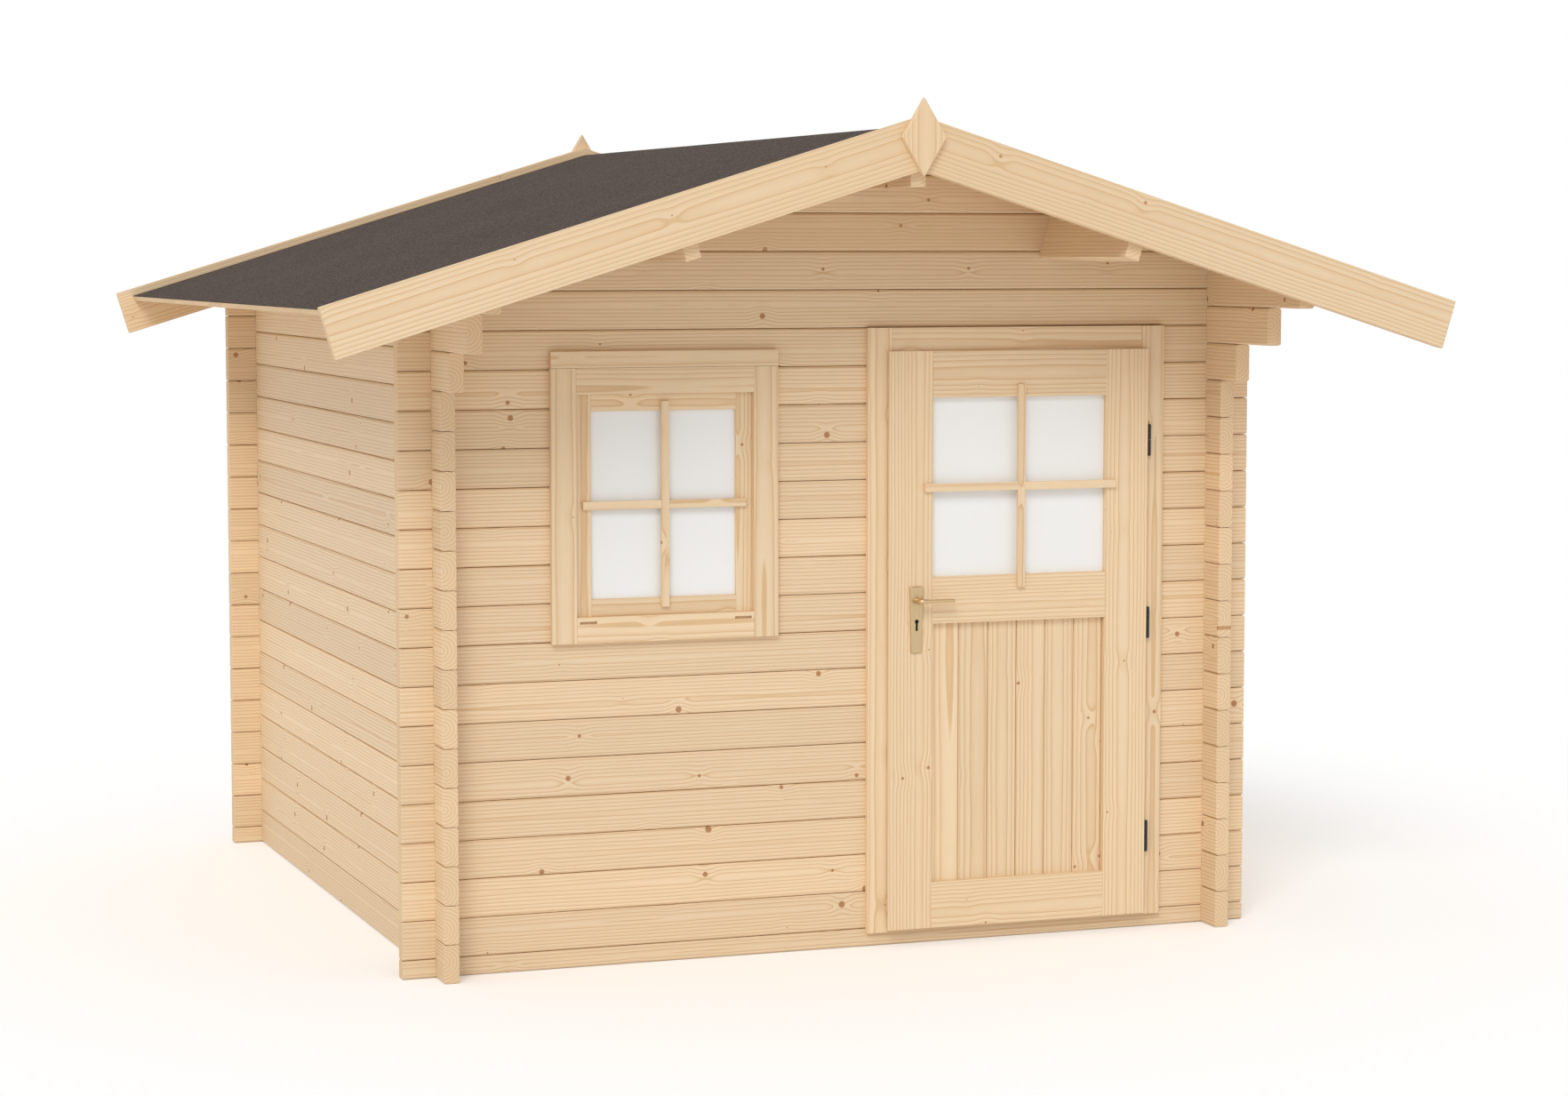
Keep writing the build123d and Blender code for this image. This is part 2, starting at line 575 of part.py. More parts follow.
with BuildPart() as hinge_leaf_barrels:
    for z in HINGE_ZS:
        top = z + (HINGE_H + HINGE_SPLIT) / 2
        rod((HINGE_X, HINGE_Y, top), HINGE_R, (HINGE_H - HINGE_SPLIT) / 2, (0, 0, 1))
        block(*leaf_blade(z))
        rod((HINGE_X, HINGE_Y, top), HINGE_PIN_R + HINGE_PIN_PLAY, HINGE_PIN_L + OVER,
            (0, 0, 1), Mode.SUBTRACT)
save(hinge_leaf_barrels, "hinge_leaf_barrels")

# Lock plates on both faces of the leaf, and the lever pair on one spindle
with BuildPart() as lock_plates:
    plate = [(LEVER_X - PLATE_FOOT_W / 2, PLATE_Z), (LEVER_X + PLATE_FOOT_W / 2, PLATE_Z),
             (LEVER_X + PLATE_TOP_W / 2, PLATE_Z + PLATE_H),
             (LEVER_X - PLATE_TOP_W / 2, PLATE_Z + PLATE_H)]
    prism_along_y(plate, LEAF_Y - PLATE_T, LEAF_Y)
    prism_along_y(plate, LEAF_BACK_Y, LEAF_BACK_Y + PLATE_T)
    through = LEAF_T + 2 * PLATE_T + 2 * OVER
    rod((LEVER_X, LEAF_Y - PLATE_T - OVER, LEVER_Z), SPINDLE_R + SPINDLE_PLAY, through,
        (0, 1, 0), Mode.SUBTRACT)
    rod((LEVER_X, LEAF_Y - PLATE_T - OVER, KEY_Z), KEY_R, through, (0, 1, 0), Mode.SUBTRACT)
    block((LEVER_X - KEY_SLOT_W / 2, LEVER_X + KEY_SLOT_W / 2),
          (LEAF_Y - PLATE_T - OVER, LEAF_BACK_Y + PLATE_T + OVER),
          (KEY_Z - KEY_SLOT_L, KEY_Z), Mode.SUBTRACT)
save(lock_plates, "lock_plates")

with BuildPart() as door_lever:
    plate_front, plate_back = LEAF_Y - PLATE_T, LEAF_BACK_Y + PLATE_T
    rod((LEVER_X, plate_front - LEVER_GAP, LEVER_Z), SPINDLE_R,
        plate_back - plate_front + 2 * LEVER_GAP, (0, 1, 0))
    for start, out in ((plate_front - LEVER_GAP, -1), (plate_back + LEVER_GAP, 1)):
        rod((LEVER_X, start, LEVER_Z), LEVER_NECK_R, LEVER_NECK_L, (0, out, 0))
        bar_y = sorted((start + out * (LEVER_NECK_L - LEVER_D), start + out * LEVER_NECK_L))
        with BuildSketch(Plane.YZ.offset(LEVER_X)) as section:
            with Locations((sum(bar_y) / 2, LEVER_Z)):
                RectangleRounded(LEVER_D, LEVER_H, LEVER_EDGE_R)
        extrude(section.sketch, amount=LEVER_L)
save(door_lever, "door_lever")

# Window frame: posts of the same gripping profile, with rails between them
with BuildPart() as window_frame_posts:
    for wall_edge, clear_edge in ((WINDOW_X0 - JAMB_T, WINDOW_X0),
                                  (WINDOW_X1 + JAMB_T, WINDOW_X1)):
        prism_along_z(frame_profile(wall_edge, clear_edge), WINDOW_FOOT_Z, WINDOW_HEAD_Z)
    for z in ((WINDOW_FOOT_Z, WINDOW_Z0 - JAMB_T), (WINDOW_Z1 + JAMB_T, WINDOW_HEAD_Z)):
        block((WINDOW_X0 - JAMB_T, WINDOW_X1 + JAMB_T), (FRONT_Y, FRONT_Y + LOG_T), z,
              Mode.SUBTRACT)
save(window_frame_posts, "window_frame_posts")

with BuildPart() as window_frame_rails:
    for clear_z, out in ((WINDOW_Z0, -1), (WINDOW_Z1, 1)):
        casing_z = clear_z + out * CASING_W
        jamb_z = clear_z + out * JAMB_T
        outline = [(front, clear_z), (back, clear_z), (back, casing_z),
                   (FRONT_Y + LOG_T, casing_z), (FRONT_Y + LOG_T, jamb_z), (FRONT_Y, jamb_z),
                   (FRONT_Y, casing_z), (front, casing_z)]
        prism_along_x(outline, WINDOW_X0, WINDOW_X1)
    slot_z = WINDOW_Z0 - DRAIN_SLOT_DROP
    for slot_x in (WINDOW_X0 + DRAIN_SLOT_INSET, WINDOW_X1 - DRAIN_SLOT_INSET - DRAIN_SLOT_L):
        block((slot_x, slot_x + DRAIN_SLOT_L), (front - OVER, front + DRAIN_SLOT_D),
              (slot_z - DRAIN_SLOT_H / 2, slot_z + DRAIN_SLOT_H / 2), Mode.SUBTRACT)
save(window_frame_rails, "window_frame_rails")

with BuildPart() as window_drip_board:
    block((WINDOW_X0 - CASING_W, WINDOW_X1 + CASING_W), (front, FRONT_Y),
          (WINDOW_HEAD_Z, WINDOW_HEAD_Z + DRIP_BOARD_H))
save(window_drip_board, "window_drip_board")

# Window sash, fixed in its frame
sash_y = (FRONT_Y, FRONT_Y + SASH_T)
sash_groove_y = (SASH_GLASS_Y - GROOVE_PLAY, SASH_GLASS_Y + GLASS_T + GROOVE_PLAY)
with BuildPart() as window_sash_stiles:
    block((WINDOW_X0, SASH_GLASS_X0), sash_y, (WINDOW_Z0, WINDOW_Z1))
    block((SASH_GLASS_X1, WINDOW_X1), sash_y, (WINDOW_Z0, WINDOW_Z1))
    block((SASH_GLASS_X0 - GROOVE_D, SASH_GLASS_X1 + GROOVE_D), sash_groove_y,
          (SASH_GLASS_Z0 - GROOVE_D, SASH_GLASS_Z1 + GROOVE_D), Mode.SUBTRACT)
save(window_sash_stiles, "window_sash_stiles")

with BuildPart() as window_sash_rails:
    block((SASH_GLASS_X0, SASH_GLASS_X1), sash_y, (WINDOW_Z0, SASH_GLASS_Z0))
    block((SASH_GLASS_X0, SASH_GLASS_X1), sash_y, (SASH_GLASS_Z1, WINDOW_Z1))
    block((SASH_GLASS_X0, SASH_GLASS_X1), sash_groove_y,
          (SASH_GLASS_Z0 - GROOVE_D, SASH_GLASS_Z1 + GROOVE_D), Mode.SUBTRACT)
save(window_sash_rails, "window_sash_rails")

with BuildPart() as window_glass:
    block((SASH_GLASS_X0 - side_lap, SASH_GLASS_X1 + side_lap),
          (SASH_GLASS_Y, SASH_GLASS_Y + GLASS_T),
          (SASH_GLASS_Z0 - GROOVE_D, SASH_GLASS_Z1 + side_lap))
save(window_glass, "window_glass")

with BuildPart() as window_glazing_bars:
    bar_y = (FRONT_Y - BAR_T, FRONT_Y)
    bar_z = (SASH_GLASS_Z0 + SASH_GLASS_Z1) / 2
    block((WINDOW_X - BAR_W / 2, WINDOW_X + BAR_W / 2), bar_y,
          (SASH_GLASS_Z0 - WINDOW_BAR_LAP, SASH_GLASS_Z1 + WINDOW_BAR_LAP))
    block((SASH_GLASS_X0 - WINDOW_BAR_LAP, SASH_GLASS_X1 + WINDOW_BAR_LAP), bar_y,
          (bar_z - BAR_W / 2, bar_z + BAR_W / 2))
save(window_glazing_bars, "window_glazing_bars")
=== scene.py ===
# %% [markdown]
# # A garden house of planed spruce logs
#
# The house is built like the real ones: logs that cross at the corners, a board roof under
# felt, a framed door and a framed window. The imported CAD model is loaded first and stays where
# it is. Nearly every visible timber is then made again as a mesh of its own, because wood needs
# three things that a bare CAD solid can't give: soft edges, a grain that runs along that one
# timber, and a tone of its own.

import bmesh
import bpy
import numpy as np
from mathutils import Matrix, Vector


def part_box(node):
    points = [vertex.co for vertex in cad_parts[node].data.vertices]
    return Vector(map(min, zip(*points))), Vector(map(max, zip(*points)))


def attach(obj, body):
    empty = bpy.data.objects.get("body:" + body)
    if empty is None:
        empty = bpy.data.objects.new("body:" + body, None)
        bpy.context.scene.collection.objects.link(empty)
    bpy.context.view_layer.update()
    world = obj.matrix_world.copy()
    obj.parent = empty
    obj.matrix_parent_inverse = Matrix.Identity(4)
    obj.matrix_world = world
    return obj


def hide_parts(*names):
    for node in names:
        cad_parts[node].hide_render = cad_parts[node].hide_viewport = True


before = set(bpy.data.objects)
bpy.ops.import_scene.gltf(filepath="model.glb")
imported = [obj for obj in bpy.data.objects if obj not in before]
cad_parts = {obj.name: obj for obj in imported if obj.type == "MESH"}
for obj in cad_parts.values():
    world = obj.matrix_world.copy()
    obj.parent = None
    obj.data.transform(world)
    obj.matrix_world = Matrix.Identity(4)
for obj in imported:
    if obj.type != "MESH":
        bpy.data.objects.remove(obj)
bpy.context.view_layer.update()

# %% [markdown]
# ## Camera
#
# The drawing was made from the left of the door, well back, with a long lens. The parallel
# edges of the roof and the walls fix where the camera stood. Its tilt is small, so the upright
# edges stay nearly upright.

# %% The camera of the drawing
CAMERA_AT = (-3.70037, -10.64710, 2.09088)
CAMERA_YAW = 20.06  # degrees to the right of straight ahead
CAMERA_PITCH = 4.885  # degrees down
LENS = 79.86  # for a 36 mm sensor

lens = bpy.data.cameras.new("drawing_camera")
lens.sensor_width = 36.0
lens.sensor_fit = "HORIZONTAL"
lens.lens = LENS
camera = bpy.data.objects.new("drawing_camera", lens)
bpy.context.scene.collection.objects.link(camera)
camera.location = CAMERA_AT
camera.rotation_euler = np.radians((90.0 - CAMERA_PITCH, 0.0, -CAMERA_YAW))
bpy.context.scene.camera = camera
print("camera", [round(v, 2) for v in CAMERA_AT], "lens", LENS, "mm")

# %% [markdown]
# ## Colours and nodes
#
# Colours are written as sRGB hex, as a paint chart gives them, and one function turns them to
# the linear values that Blender mixes. One more function adds any shader node, with its
# settings and its links, so that a material reads as a list of steps.


# %% Colour and node helpers
def linear(hex_colour):
    """sRGB hex to linear RGBA: c / 12.92 below 0.04045, else ((c + 0.055) / 1.055) ** 2.4."""
    digits = hex_colour.lstrip("#")
    srgb = np.array([int(digits[i:i + 2], 16) for i in (0, 2, 4)]) / 255.0
    low, high = srgb / 12.92, ((srgb + 0.055) / 1.055) ** 2.4
    return (*np.where(srgb <= 0.04045, low, high), 1.0)


def blank(holder):
    """The emptied node tree of a new material or world."""
    holder.use_nodes = True
    holder.node_tree.nodes.clear()
    return holder.node_tree


def add(tree, kind, *values, stops=(), **named):
    """Adds a shader node and returns the list of its outputs in use.

    values fill the inputs in use in order. A named value is one of the node's own settings if
    it has one of that name, and else an input, with an underscore for each space. A socket is
    linked. stops are the (position, linear colour) pairs of a colour ramp.
    """
    node = tree.nodes.new("ShaderNode" + kind)
    for setting in [name for name in named if hasattr(node, name)]:
        setattr(node, setting, named.pop(setting))
    in_use = [socket for socket in node.inputs if socket.enabled]
    by_name = [(node.inputs[name.replace("_", " ")], value) for name, value in named.items()]
    for socket, value in [*zip(in_use, values), *by_name]:
        if isinstance(value, bpy.types.NodeSocket):
            tree.links.new(value, socket)
        else:
            socket.default_value = value
    for i, (position, colour) in enumerate(stops):
        marks = node.color_ramp.elements
        mark = marks[i] if i < len(marks) else marks.new(position)
        mark.position, mark.color = position, colour
    return [socket for socket in node.outputs if socket.enabled]


# Places of some outputs in the lists that add returns
OBJECT = 3  # of Texture Coordinate
VECTOR, FACTOR = 1, 2  # of Attribute
NOISE_SPAN = (0.3, 0.7)  # where nearly all values of a noise lie

# %% [markdown]
# ## Planed spruce
#
# Spruce is a pale softwood with soft, wide early rings and thin, darker late rings. A log sawn
# round its heart shows the rings as long, slowly wandering lines on its faces and as arcs on
# its sawn ends. A picture of wood can't do both, so the rings are worked out in the solid: each
# timber carries an attribute, grain, that holds the place of every point along the trunk,
# through its depth and across its width. The distance from the trunk's heart, bent by slow
# noise, then gives the ring. Knots are round spots, a hand's width to an arm's length apart,
# that push the rings aside.
#
# Real rings are 2 to 3 mm wide. One pixel of the render is about 4.5 mm of wall, so they are
# drawn about four times as wide, or they would vanish into a flat tone or shimmer. The
# fibres, about 0.05 mm thick in the tree, are drawn as streaks of 4 mm.

# %% Spruce sizes, in metres
RING_WIDTH = 0.0105
RING_WANDER = 0.016  # how far slow noise bends the rings
WANDER_PER_M = (1.1, 7.0, 7.0)  # along, through and across
FIBRES_PER_M = (9.0, 260.0, 260.0)
KNOT_SPACING = (0.47, 0.085)  # along the timber and across it
KNOT_RADIUS = 0.0105
KNOT_EDGE = (0.0012, -0.0022)  # from clear wood to the knot's dark inside
KNOT_SWELL = 0.012  # how far a knot pushes the rings aside
KNOT_REACH = 0.06
KNOTLESS = 0.45  # share of the knot places that stay clear
KNOT_COVER = 0.85  # how much of the wood's colour a knot hides
STREAK_TONE = (0.965, 1.03)  # of the fibres, darkest and palest
SAWN_TONE = 0.3  # how much of the dark ring colour a saw-cut end takes
EARLY_ROUGH, LATE_ROUGH, SAWN_ROUGH = 0.62, 0.5, 0.2  # the last is added on saw-cut ends
LATE_RISE, FIBRE_RISE = 0.5, 0.6  # shares of the bump

# Late wood within one ring, from the early wood of spring (0) to the ring's edge (1)
RING_STOPS = [(at, (dark, dark, dark, 1.0)) for at, dark in
              ((0.0, 0.0), (1.0, 0.1), (0.35, 0.06), (0.72, 0.42), (0.88, 1.0), (0.95, 0.9))]


# %% Spruce material
def spruce(name, pale, dark, knot, knots=1.0, tone_spread=0.06):
    """Planed, untreated spruce. Ring = fract((distance to the heart + wander + swell) / width),
    and the ring's place in its ramp gives how much late wood shows."""
    material = bpy.data.materials.new(name)
    tree = blank(material)
    grain = add(tree, "Attribute", attribute_name="grain")[VECTOR]
    tone = add(tree, "Attribute", attribute_name="tone")[FACTOR]
    sawn = add(tree, "Attribute", attribute_name="sawn_end")[FACTOR]
    along, depth, across = add(tree, "SeparateXYZ", grain)

    slow = add(tree, "VectorMath", grain, WANDER_PER_M, operation="MULTIPLY")[0]
    wander = add(tree, "TexNoise", slow, Scale=1.0, Detail=3.0, Roughness=0.45)[0]

    # Knots: one or none in each cell of a loose grid over the timber's face
    flat = add(tree, "CombineXYZ", along, across, 0.0)[0]
    spacing = (*KNOT_SPACING, 1.0)
    cells = add(tree, "VectorMath", flat, spacing, operation="DIVIDE")[0]
    _, luck, centre = add(tree, "TexVoronoi", cells, Scale=1.0, Randomness=0.9,
                          voronoi_dimensions="2D")
    apart = add(tree, "VectorMath", cells, centre, operation="SUBTRACT")[0]
    apart = add(tree, "VectorMath", apart, spacing, operation="MULTIPLY")[0]
    from_knot = add(tree, "VectorMath", apart, operation="LENGTH")[0]
    luck = add(tree, "SeparateColor", luck)[0]
    size = add(tree, "MapRange", luck, KNOTLESS, 1.0, 0.0, KNOT_RADIUS * knots)[0]
    outside = add(tree, "Math", from_knot, size, operation="SUBTRACT")[0]
    in_knot = add(tree, "MapRange", outside, *KNOT_EDGE, 0.0, KNOT_COVER,
                  interpolation_type="SMOOTHSTEP")[0]
    beside = add(tree, "MapRange", from_knot, KNOT_REACH, 0.0, 0.0, KNOT_SWELL / KNOT_RADIUS,
                 interpolation_type="SMOOTHERSTEP")[0]
    swell = add(tree, "Math", beside, size, operation="MULTIPLY")[0]

    # Rings round the heart, which runs along the timber at depth 0 and across 0
    from_heart = add(tree, "CombineXYZ", 0.0, depth, across)[0]
    from_heart = add(tree, "VectorMath", from_heart, operation="LENGTH")[0]
    bent = add(tree, "Math", wander, RING_WANDER, from_heart, operation="MULTIPLY_ADD")[0]
    bent = add(tree, "Math", bent, swell, operation="ADD")[0]
    ring = add(tree, "Math", bent, RING_WIDTH, operation="DIVIDE")[0]
    ring = add(tree, "Math", ring, operation="FRACT")[0]
    late = add(tree, "ValToRGB", ring, stops=RING_STOPS)[0]

    fine = add(tree, "VectorMath", grain, FIBRES_PER_M, operation="MULTIPLY")[0]
    fibre = add(tree, "TexNoise", fine, Scale=1.0, Detail=4.0, Roughness=0.6)[0]

    colour = add(tree, "Mix", late, linear(pale), linear(dark), data_type="RGBA")[0]
    streak = add(tree, "MapRange", fibre, *NOISE_SPAN, *STREAK_TONE)[0]
    shade = add(tree, "MapRange", tone, -1.0, 1.0, 1.0 - tone_spread, 1.0 + tone_spread)[0]
    shade = add(tree, "Math", shade, streak, operation="MULTIPLY")[0]
    colour = add(tree, "VectorMath", colour, shade, operation="SCALE")[0]
    colour = add(tree, "Mix", in_knot, colour, linear(knot), data_type="RGBA")[0]
    end_grain = add(tree, "Math", sawn, SAWN_TONE, operation="MULTIPLY")[0]
    colour = add(tree, "Mix", end_grain, colour, linear(dark), data_type="RGBA")[0]

    # Late wood is denser, so it planes smoother and stands a little proud
    planed = add(tree, "MapRange", late, 0.0, 1.0, EARLY_ROUGH, LATE_ROUGH)[0]
    rough = add(tree, "Math", sawn, SAWN_ROUGH, planed, operation="MULTIPLY_ADD")[0]
    fuzz = add(tree, "Math", fibre, FIBRE_RISE, operation="MULTIPLY")[0]
    height = add(tree, "Math", late, LATE_RISE, fuzz, operation="MULTIPLY_ADD")[0]
    bump = add(tree, "Bump", Height=height, Strength=0.35, Distance=0.0006)[0]
    surface = add(tree, "BsdfPrincipled", Base_Color=colour, Roughness=rough, Normal=bump,
                  Specular_IOR_Level=0.32)[0]
    add(tree, "OutputMaterial", surface)
    return material


# Sawn and planed spruce, new and bare: pale straw, with warm late rings and brown knots.
SPRUCE_LOG = spruce("planed_spruce_logs", "#EFD6B3", "#DDB98D", "#A8703F")
# Joinery is picked from clearer wood, so its knots are few and small.
SPRUCE_JOINERY = spruce("planed_spruce_joinery", "#EED5B1", "#DDB98C", "#AD7747", 0.6, 0.045)
# Roof and floor boards are the plainer grade.
SPRUCE_BOARD = spruce("planed_spruce_boards", "#EDD3AD", "#D7B284", "#A06A3B", 1.0, 0.08)
print("spruce nodes:", len(SPRUCE_LOG.node_tree.nodes))

# %% [markdown]
# ## Roofing felt
#
# Roofing felt is bitumen under crushed slate, rolled hot onto a mat. The slate grains are 1 to
# 2 mm. They are drawn about 4 mm wide, so that the render still shows them as a quiet speckle.
# The slate scatters light, so the sheet has next to no gloss.

# %% Roofing felt
GRAIN_MM = 4.0
CLOUDS_PER_M, CLOUD_TONE = 2.3, (0.93, 1.06)  # slow shifts of tone over the sheet
SLATE = [(0.0, linear("#3C332F")), (1.0, linear("#6C5F58")), (0.5, linear("#51463F"))]


def mineral_felt():
    """A speckle of slate colours, one for each cell of a 3-D mosaic, over a grainy bump."""
    material = bpy.data.materials.new("slate_surfaced_bitumen_felt")
    tree = blank(material)
    place = add(tree, "TexCoord")[OBJECT]
    dome, pick, _ = add(tree, "TexVoronoi", place, Scale=1000.0 / GRAIN_MM)
    pick = add(tree, "SeparateColor", pick)[0]
    speck = add(tree, "ValToRGB", pick, stops=SLATE)[0]
    cloud = add(tree, "TexNoise", place, Scale=CLOUDS_PER_M, Detail=4.0)[0]
    shade = add(tree, "MapRange", cloud, *NOISE_SPAN, *CLOUD_TONE)[0]
    colour = add(tree, "VectorMath", speck, shade, operation="SCALE")[0]
    bump = add(tree, "Bump", Height=dome, Strength=0.5, Distance=0.0012)[0]
    surface = add(tree, "BsdfPrincipled", Base_Color=colour, Roughness=0.95, Normal=bump,
                  Specular_IOR_Level=0.1)[0]
    add(tree, "OutputMaterial", surface)
    return material


FELT = mineral_felt()

# %% [markdown]
# ## Metal
#
# The hinges are steel under black powder paint, which bakes to a half gloss with a faint orange
# peel. The lock plates and the lever are aluminium, brushed upright and then anodised to a
# champagne tone: warm, metallic and soft in its gloss. The oiled steel of the lock case shows
# only through the keyhole. Brush lines are about 0.1 mm apart, and are drawn 0.4 mm apart.

# %% Powder paint
PEEL_PER_M, PEEL_ROUGH = 900.0, (0.36, 0.48)


def black_powder_paint():
    """Near black paint whose roughness and height follow a fine noise, the orange peel."""
    material = bpy.data.materials.new("black_powder_painted_steel")
    tree = blank(material)
    place = add(tree, "TexCoord")[OBJECT]
    peel = add(tree, "TexNoise", place, Scale=PEEL_PER_M, Detail=2.0)[0]
    rough = add(tree, "MapRange", peel, *NOISE_SPAN, *PEEL_ROUGH)[0]
    bump = add(tree, "Bump", Height=peel, Strength=0.2, Distance=0.0002)[0]
    surface = add(tree, "BsdfPrincipled", Base_Color=linear("#151514"), Roughness=rough,
                  Normal=bump)[0]
    add(tree, "OutputMaterial", surface)
    return material


HINGE_PAINT = black_powder_paint()

# %% Champagne aluminium
BRUSH_PER_M = (2500.0, 2500.0, 60.0)  # across, across and up the brush lines
BRUSH_ROUGH = (0.3, 0.42)


def champagne_aluminium():
    """A warm metal whose tint, roughness and height follow noise that is stretched upright."""
    material = bpy.data.materials.new("champagne_anodised_aluminium")
    tree = blank(material)
    place = add(tree, "TexCoord")[OBJECT]
    brush = add(tree, "Mapping", place, Scale=BRUSH_PER_M)[0]
    lines = add(tree, "TexNoise", brush, Scale=1.0, Detail=2.0)[0]
    tint = add(tree, "Mix", lines, linear("#C3A77C"), linear("#DCC39B"), data_type="RGBA")[0]
    rough = add(tree, "MapRange", lines, *NOISE_SPAN, *BRUSH_ROUGH)[0]
    bump = add(tree, "Bump", Height=lines, Strength=0.15, Distance=0.0001)[0]
    surface = add(tree, "BsdfPrincipled", Base_Color=tint, Metallic=1.0, Roughness=rough,
                  Normal=bump)[0]
    add(tree, "OutputMaterial", surface)
    return material


CHAMPAGNE = champagne_aluminium()

# %% Oiled steel
OIL_PER_M = 400.0


def oiled_steel():
    """Dark steel under a film of oil, patchy in tone."""
    material = bpy.data.materials.new("oiled_lock_steel")
    tree = blank(material)
    place = add(tree, "TexCoord")[OBJECT]
    oil = add(tree, "TexNoise", place, Scale=OIL_PER_M, Detail=3.0)[0]
    tint = add(tree, "Mix", oil, linear("#1B1A19"), linear("#34322F"), data_type="RGBA")[0]
    surface = add(tree, "BsdfPrincipled", Base_Color=tint, Metallic=0.8, Roughness=0.5)[0]
    add(tree, "OutputMaterial", surface)
    return material


LOCK_STEEL = oiled_steel()

# %% [markdown]
# ## Glass
#
# The panes are drawn plain white, so they are opal glass, white in its body and etched to a
# satin face: bright in itself, with little light through it and no view.

# %% Opal glass
ETCH_PER_M, ETCH_ROUGH = 700.0, (0.3, 0.4)


def opal_glass():
    """White glass, its satin roughness broken by the fine noise of the etching."""
    material = bpy.data.materials.new("satin_etched_opal_glass")
    tree = blank(material)
    place = add(tree, "TexCoord")[OBJECT]
    etch = add(tree, "TexNoise", place, Scale=ETCH_PER_M, Detail=3.0)[0]
    rough = add(tree, "MapRange", etch, *NOISE_SPAN, *ETCH_ROUGH)[0]
    bump = add(tree, "Bump", Height=etch, Strength=0.08, Distance=0.0002)[0]
    surface = add(tree, "BsdfPrincipled", Base_Color=linear("#FDFEFD"), Transmission_Weight=0.1,
                  IOR=1.5, Roughness=rough, Normal=bump)[0]
    add(tree, "OutputMaterial", surface)
    return material


OPAL_GLASS = opal_glass()
print("materials:", [m.name for m in bpy.data.materials])

# %% [markdown]
# ## Sizes
#
# Whatever the CAD model can tell is read from its nodes' boxes. The rest repeats the model's
# own sizes, in metres.

# %% Sizes of the house
FRONT_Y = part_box("front_base_log")[0][1]
REAR_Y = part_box("rear_wall_even")[1][1]
LOG_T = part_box("front_base_log")[1][1] - FRONT_Y
BASE_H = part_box("front_base_log")[1][2]
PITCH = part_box("front_header_log")[1][2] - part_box("front_header_log")[0][2]
STUB_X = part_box("front_base_log")[1][0]
WALL_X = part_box("right_wall_even")[1][0]
INNER_X = WALL_X - LOG_T
STUB = STUB_X - WALL_X
DECK_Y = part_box("ridge_purlin")[1][1]
RIDGE_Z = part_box("ridge_purlin")[1][2]
SLOPE = np.radians(17.0)
COS, SIN, TAN = np.cos(SLOPE), np.sin(SLOPE), np.tan(SLOPE)
NOTCH = PITCH / 4
SIDE_COURSES = 17
HEADER = 16
# Gable logs: a whole one, one nicked and one cut by the lower purlins, and one nicked and one
# cut by the ridge purlin
WHOLE_COURSE, NICKED_COURSE, CUT_COURSE, POCKET_COURSE, LAST_COURSE = 17, 18, 19, 20, 21
LOG_CHAMFER = 0.005
JOINT_GAP = 0.0016  # between logs, so that a joint draws a dark line
SIDES = ((-1, "left"), (1, "right"))
print("pitch", round(PITCH, 4), "ridge", round(RIDGE_Z, 4), "front", round(FRONT_Y, 4))

# %% [markdown]
# ## One way to make every timber
#
# A timber is an outline carried along a line. The outline is a closed row of (depth, across)
# points with its corners rounded. Each station is one copy of that outline, at its place along
# the timber. A notch is two stations at one place: the outline, and the outline again with its
# height clipped. A slanted saw cut is a station whose place along the timber depends on the
# height. So a log with four notches and two bevelled ends is one grid of points, and numpy
# makes it in one go.


# %% Outlines
MOST = 0.45  # of a side, so that the roundings at its two ends never meet
ROUND = 0.001  # rounding of sawn edges
ROUND_PLANED, ROUND_TRIM = 0.0015, 0.002  # of purlins and floor boards, and of outer trim


def rounded(corners, radius, steps=2):
    """Rounds each corner P with neighbours A and B by the curve
    (1 - t)^2 (P + r a) + 2 t (1 - t) P + t^2 (P + r b), with a and b the unit ways to A and B."""
    p = np.asarray(corners, float)
    to_last, to_next = np.roll(p, 1, 0) - p, np.roll(p, -1, 0) - p
    last_len, next_len = (np.linalg.norm(v, axis=1)[:, None] for v in (to_last, to_next))
    r = np.minimum(radius, MOST * np.minimum(last_len, next_len))
    start, end = p + r * to_last / last_len, p + r * to_next / next_len
    t = np.linspace(0.0, 1.0, steps + 1)[None, :, None]
    curve = (1 - t) ** 2 * start[:, None] + 2 * t * (1 - t) * p[:, None] + t ** 2 * end[:, None]
    return curve.reshape(-1, 2)


def inset(outline, distance):
    """The outline moved inwards: P + d (m + n) / (1 + m.n), with m, n the two inward normals."""
    p = np.asarray(outline, float)
    edge = np.roll(p, -1, 0) - p
    edge /= np.linalg.norm(edge, axis=1)[:, None]
    area = np.sum(p[:, 0] * np.roll(p[:, 1], -1) - p[:, 1] * np.roll(p[:, 0], -1))
    normal = np.stack([-edge[:, 1], edge[:, 0]], 1) * np.sign(area)
    before = np.roll(normal, 1, 0)
    spread = 1.0 + np.sum(normal * before, 1)[:, None]
    return p + distance * (normal + before) / spread


def board_outline(depth, across, chamfer=0.0, radius=ROUND, breaks=()):
    """A rectangle over the two ranges, its corners cut by chamfer and then rounded.
    breaks are extra heights with a point on both upright sides."""
    (d0, d1), (a0, a1) = depth, across
    if chamfer:
        corners = [(d0 + chamfer, a0), (d1 - chamfer, a0), (d1, a0 + chamfer),
                   *[(d1, b) for b in breaks], (d1, a1 - chamfer), (d1 - chamfer, a1),
                   (d0 + chamfer, a1), (d0, a1 - chamfer),
                   *[(d0, b) for b in reversed(breaks)], (d0, a0 + chamfer)]
        return rounded(corners, radius)
    return rounded([(d0, a0), (d1, a0), (d1, a1), (d0, a1)], radius)


